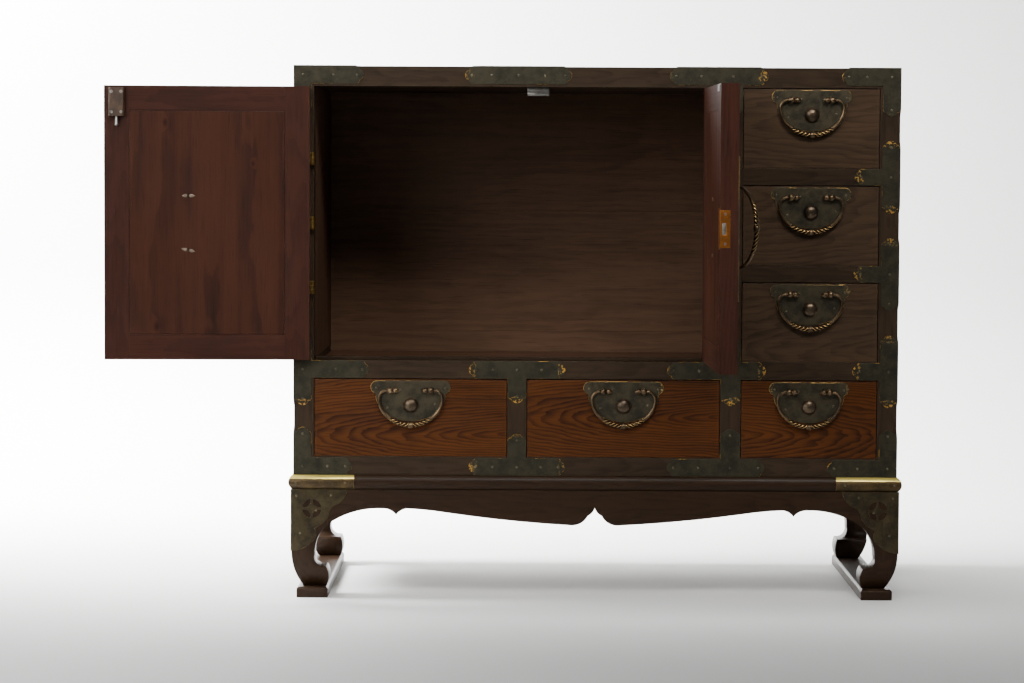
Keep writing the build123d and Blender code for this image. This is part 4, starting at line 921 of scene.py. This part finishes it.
# %% Studs, prongs and boss
STUD = [(-0.3, 5.6), (0.9, 5.6), (1.5, 4.7), (2.8, 4.5), (4.2, 5.2), (6.2, 5.5), (8.4, 4.9),
        (10.0, 3.4), (10.9, 1.2)]
BOSS = [(-0.3, 13.5), (0.6, 13.5), (1.1, 13.2), (1.2, 12.6), (0.9, 12.2), (1.6, 12.0), (3.4, 11.3),
        (5.2, 9.5), (6.6, 7.0), (7.5, 4.1), (7.9, 1.4)]
PLATE, STUD_SIDES = 0.0015, 20


def add_stud(bm, x, wood, spread_way):
    """A stud through plate and wood, with its two clenched prongs on the inner side."""
    turned(bm, (x, -PLATE, 0), OUT, STUD, STUD_SIDES)
    bm.faces.ensure_lookup_table()
    for face in bm.faces[-STUD_SIDES * (len(STUD) - 1) - 2:]:
        face.material_index = 1
    askew = OUT.cross(spread_way) * chance.uniform(-0.25, 0.25)
    for side in (-1, 1):
        length = chance.uniform(0.0095, 0.0115)
        path = [Vector((x, wood + 0.0005, 0)) + (spread_way + askew) * (side * length * share)
                for share in (0.16, 0.3, 0.55, 0.8, 1.0)]
        sweep(bm, path, [0.0012, 0.0025, 0.0026, 0.0016, 0.0005], 10, squash=0.2)


print("a stud stands", STUD[-1][0], "mm proud, the boss", BOSS[-1][0], "mm")

# %% [markdown]
# The plate under a pull is a straight top, a round ear at each end and a bowl below. Its outline
# is half drawn and half mirrored, then pushed out to a sheet, and the rim is eased.

# %% Pull plate
HALF_PLATE = 0.0665


def pull_plate(x, z, ears):
    """A bowl-shaped plate with an ear at each end; x and z are the middle of its top edge."""
    height, ear = 0.068, 0.011
    neck = HALF_PLATE - 0.75 * ear
    right_ear = [(HALF_PLATE - ear, 0)]
    right_ear += [(HALF_PLATE - ear + ear * sin(a), -ear + ear * cos(a))
                  for a in [radians(t) for t in range(15, 136, 15)]]
    bowl = [(neck * cos(a), -2 * ear - (height - 2 * ear) * sin(a))
            for a in [radians(t) for t in range(0, 91, 5)]]
    outline = right_ear + bowl
    outline += [(-u, w) for u, w in reversed(outline[:-1])]
    bm = bmesh.new()
    layer_of(bm.loops.layers.float, "edge")
    layer_of(bm.verts.layers.float_vector, "tip")
    face = bm.faces.new([bm.verts.new((x + u, DRAWER_IN, z + w)) for u, w in outline])
    raised = bmesh.ops.extrude_face_region(bm, geom=[face])["geom"]
    top = [v for v in raised if isinstance(v, bmesh.types.BMVert)]
    bmesh.ops.translate(bm, verts=top, vec=(0, -PLATE, 0))
    bmesh.ops.recalc_face_normals(bm, faces=bm.faces)
    rim = [e for e in bm.edges if all(abs(v.co.y - DRAWER_IN + PLATE) < 1e-6 for v in e.verts)]
    ease_edges(bm, rim, 0.5 * MM)
    write_tips(bm, ears, DRAWER_IN)
    return bm


print("a pull plate is", 2 * HALF_PLATE / MM, "mm wide")

# %% [markdown]
# The table says where each drawer's pull hangs, and how far hands have worn its left and right
# ears. The nails' places are in millimetres from there.

# %% Drawer pulls
STUD_X, BAIL_OUT, BOSS_DROP = 0.0335, 0.007, 0.0246
pulls = {1: (0.354, 0.8293, (0.35, 0.35)), 2: (0.354, 0.668967, (0.4, 0.2)),
         3: (0.354, 0.508633, (0.2, 0.5)), 4: (0.354, 0.3463, (0.6, 0.4)),
         5: (-0.3065, 0.3463, (0.3, 0.2)), 6: (0.0465, 0.3463, (0.2, 0.9))}
plate_spots = [(-57, 4), (57.5, 3.5), (-17.5, 1), (-38.5, -29), (40.5, -23)]
for n, (x, z, ear_wear) in pulls.items():
    body = f"drawer_{n}"
    hang = Matrix.Translation((x, DRAWER_IN, z))
    ears = [(Vector((x + s * HALF_PLATE, DRAWER_IN, z + 0.006)), -s * RIGHT, worn)
            for s, worn in zip((-1, 1), ear_wear)]
    finish_mesh(to_mesh(pull_plate(x, z + 0.0162, ears), body + "_pull_plate"), body, plate_bronze,
                replaces=[body + "_plate"])
    bm = bmesh.new()
    turned(bm, (0, -PLATE, -BOSS_DROP), OUT, BOSS, 28)
    for side in (-1, 1):
        add_stud(bm, side * STUD_X, 0.018, RIGHT)
    finish_mesh(close_mesh(bm, body + "_boss", hang), body, boss_bronze, cast_bronze)
    bail(body + "_bail", 0.110, 0.0614, STUD_X, Matrix.Translation((x, DRAWER_IN - BAIL_OUT, z)))
    spots = [(hang @ Vector((u * MM, -PLATE, w * MM)), OUT, NAIL) for u, w in plate_spots]
    nails(body + "_nails", body, spots)

# %% [markdown]
# The doors' pulls are the same, laid on their sides: a half plate at the meeting edge, two studs
# one above the other, and a bail that swings on an upright axis.

# %% Door pulls
DOOR_STUD, BAIL_SWING = 0.0445, 24
door_edge = {"left": -0.13075, "right": -0.12925}
door_spots = [(8, 98), (8, -98), (52, 82), (52, -82), (110, 50), (110, -50), (150, 0), (30, 0),
              (75, 0)]
for side, way, pivot in (("left", -1, -0.26775), ("right", 1, 0.00775)):
    door = side + "_door"
    turn = door_turn[side]
    dress(door + "_plate", door, plate_bronze, 0.0003, turn=turn,
          keep=lambda low, high: high.x - low.x > 0.1)
    laid = Matrix.Rotation(radians(90 * way), 4, "Y")
    bm = bmesh.new()
    for end in (-1, 1):
        add_stud(bm, end * DOOR_STUD, 0.0286, UP)
    lay = turn @ Matrix.Translation((pivot, FRONT, DOOR_MIDDLE)) @ laid
    finish_mesh(close_mesh(bm, door + "_studs", lay), door, prong_bronze, cast_bronze)
    swing = Matrix.Rotation(radians(BAIL_SWING * way), 4, "Z")
    hang = turn @ Matrix.Translation((pivot, FRONT - BAIL_OUT, DOOR_MIDDLE)) @ swing @ laid
    bail(door + "_bail", 0.132, 0.073, DOOR_STUD, hang)
    out = turn.to_3x3() @ OUT
    places = [Vector((door_edge[side] + way * u * MM, FRONT - PLATE, DOOR_MIDDLE + w * MM))
              for u, w in door_spots]
    nails(door + "_nails", door, [(turn @ place, out, BIG_NAIL) for place in places])

# %% [markdown]
# ## Bolt, lock and catch
# The small fittings are newer than the cabinet: a flush bolt at the left door's top, a lock in the
# right door's edge and a magnetic catch under the top, whose two poles are bare steel. Screws hold
# them. A screw's slot is a gap between two half heads on a disc.


# %% Screws
def add_screw(bm, place, out, radius, turn):
    """A slotted screw head: a disc and two half discs with the slot between them."""
    out = Vector(out)
    first = UP.cross(out).normalized()
    second = out.cross(first)
    across = cos(turn) * first + sin(turn) * second
    along = out.cross(across)
    turned(bm, Vector(place) - out * 0.0002, out, [(0, radius / MM), (0.4, radius * 0.98 / MM)], 20)
    slot = radius * 0.16
    for side in (-1, 1):
        rim = [(slot, -sqrt(radius**2 - slot**2))]
        rim += [(radius * cos(radians(a)), radius * sin(radians(a)))
                for a in range(-72, 73, 18)]
        rim.append((slot, sqrt(radius**2 - slot**2)))
        low, high = [[bm.verts.new(Vector(place) + out * h + (across * side * u + along * v) * share)
                      for u, v in rim] for h, share in ((0.0002, 1.0), (0.0009, 0.86))]
        for k in range(len(rim)):
            bm.faces.new((low[k - 1], low[k], high[k], high[k - 1]))
        bm.faces.new(low)
        bm.faces.new(high)


def screws(name, body, turn, spots):
    bm = bmesh.new()
    for place, out, radius in spots:
        add_screw(bm, place, out, radius, chance.uniform(0, pi))
    finish_mesh(close_mesh(bm, name, turn), body, steel, slot="steel")
    print(name, len(spots), "screws")


# %% Small fittings
BOLT_X = -0.15175
left, right = door_turn["left"], door_turn["right"]
dress("left_door_bolt_case", "left_door", case_brown, 0.0006, turn=left)
dress("left_door_bolt_pin", "left_door_bolt", steel, 0.0002, turn=left)
screws("bolt_case_screws", "left_door", left,
       [((BOLT_X + u, DOOR_IN + 0.011, z), (0, 1, 0), 0.0027)
        for u in (-0.0078, 0.0078) for z in (0.8035, 0.8365)])
dress("right_door_lock_case", "right_door", lock_brass, 0.0003, turn=right)
dress("right_door_lock_bolt", "right_door_lock_bolt", steel, 0.0004, turn=right)
dress("right_door_strike", "right_door", steel, 0.0002, turn=right)
screws("lock_screws", "right_door", right,
       [((door_edge["right"] + 0.0008, -0.2094, DOOR_MIDDLE + z), (-1, 0, 0), 0.0024)
        for z in (-0.023, 0.023)])
catch = dress("magnetic_catch", ROOT, case_brown, 0.0003)
catch.data.materials.append(steel)
for face in catch.data.polygons:
    face.material_index = int(face.center.y < -0.1982)
print("fittings done")

# %% [markdown]
# ## Stage
# A pale floor runs up into a pale wall in one curve, so no horizon line cuts behind the stand.
# The paper is clear from its back, so the cabinet can also be looked at from behind.
# Daylight comes from a large window at the left, slightly in front, and the room gives back a
# little. A third lamp brightens the wall alone.

# %% Floor, wall and light
def stage_sheet():
    bm = bmesh.new()
    path = [(-7.0, 0.0), (1.0, 0.0)]
    path += [(1.0 + 0.5 * sin(a), 0.5 - 0.5 * cos(a))
             for a in [radians(9 * n) for n in range(1, 11)]]
    path.append((1.5, 5.0))
    rows = [[bm.verts.new((x, y, z)) for x in (-7.0, 7.0)] for y, z in path]
    for low, high in zip(rows, rows[1:]):
        bm.faces.new((low[0], low[1], high[1], high[0])).smooth = True
    return to_mesh(bm, "stage")


made, start, shader = new_finish("stage_paper")
place = start.node("ShaderNodeTexCoord", out="Object")
tone = place.noise(1.4, 4.0).rise(0.2, 0.8).blend((0.75, 0.75, 0.74), (0.79, 0.79, 0.785))
plug(tone, shader, "Base Color")
plug(1 - start.node("ShaderNodeNewGeometry", out="Backfacing"), shader, "Alpha")
shader.inputs["Roughness"].default_value = 0.85
stage = add_object("stage", stage_sheet())
stage.data.materials.append(made)


def lamp(name, place, target, width, height, power, spread=180, tint=(1, 1, 1)):
    light = bpy.data.lights.new(name, "AREA")
    light.shape = "RECTANGLE"
    light.size, light.size_y = width, height
    light.energy = power
    light.spread = radians(spread)
    light.color = tint
    made = add_object(name, light)
    made.location = place
    made.rotation_euler = (Vector(target) - Vector(place)).to_track_quat("-Z", "Y").to_euler()


lamp("window", (-2.5, -3.5, 2.0), (-0.1, 0, 0.95), 2.6, 2.0, 50, 110, (0.98, 0.99, 1.0))
lamp("room", (0.5, -2.6, 3.0), (0.0, -0.23, 1.2), 2.4, 1.0, 20, 60, (1.0, 0.98, 0.95))
lamp("wall_wash", (-2.7, 0.45, 2.5), (-1.6, 1.5, 1.2), 1.6, 1.6, 620, 90)
world = bpy.data.worlds.new("room")
world.use_nodes = True
background = world.node_tree.nodes["Background"]
background.inputs["Color"].default_value = (0.93, 0.96, 1.0, 1)
background.inputs["Strength"].default_value = 0.11
bpy.context.scene.world = world
print("stage and lights ready")
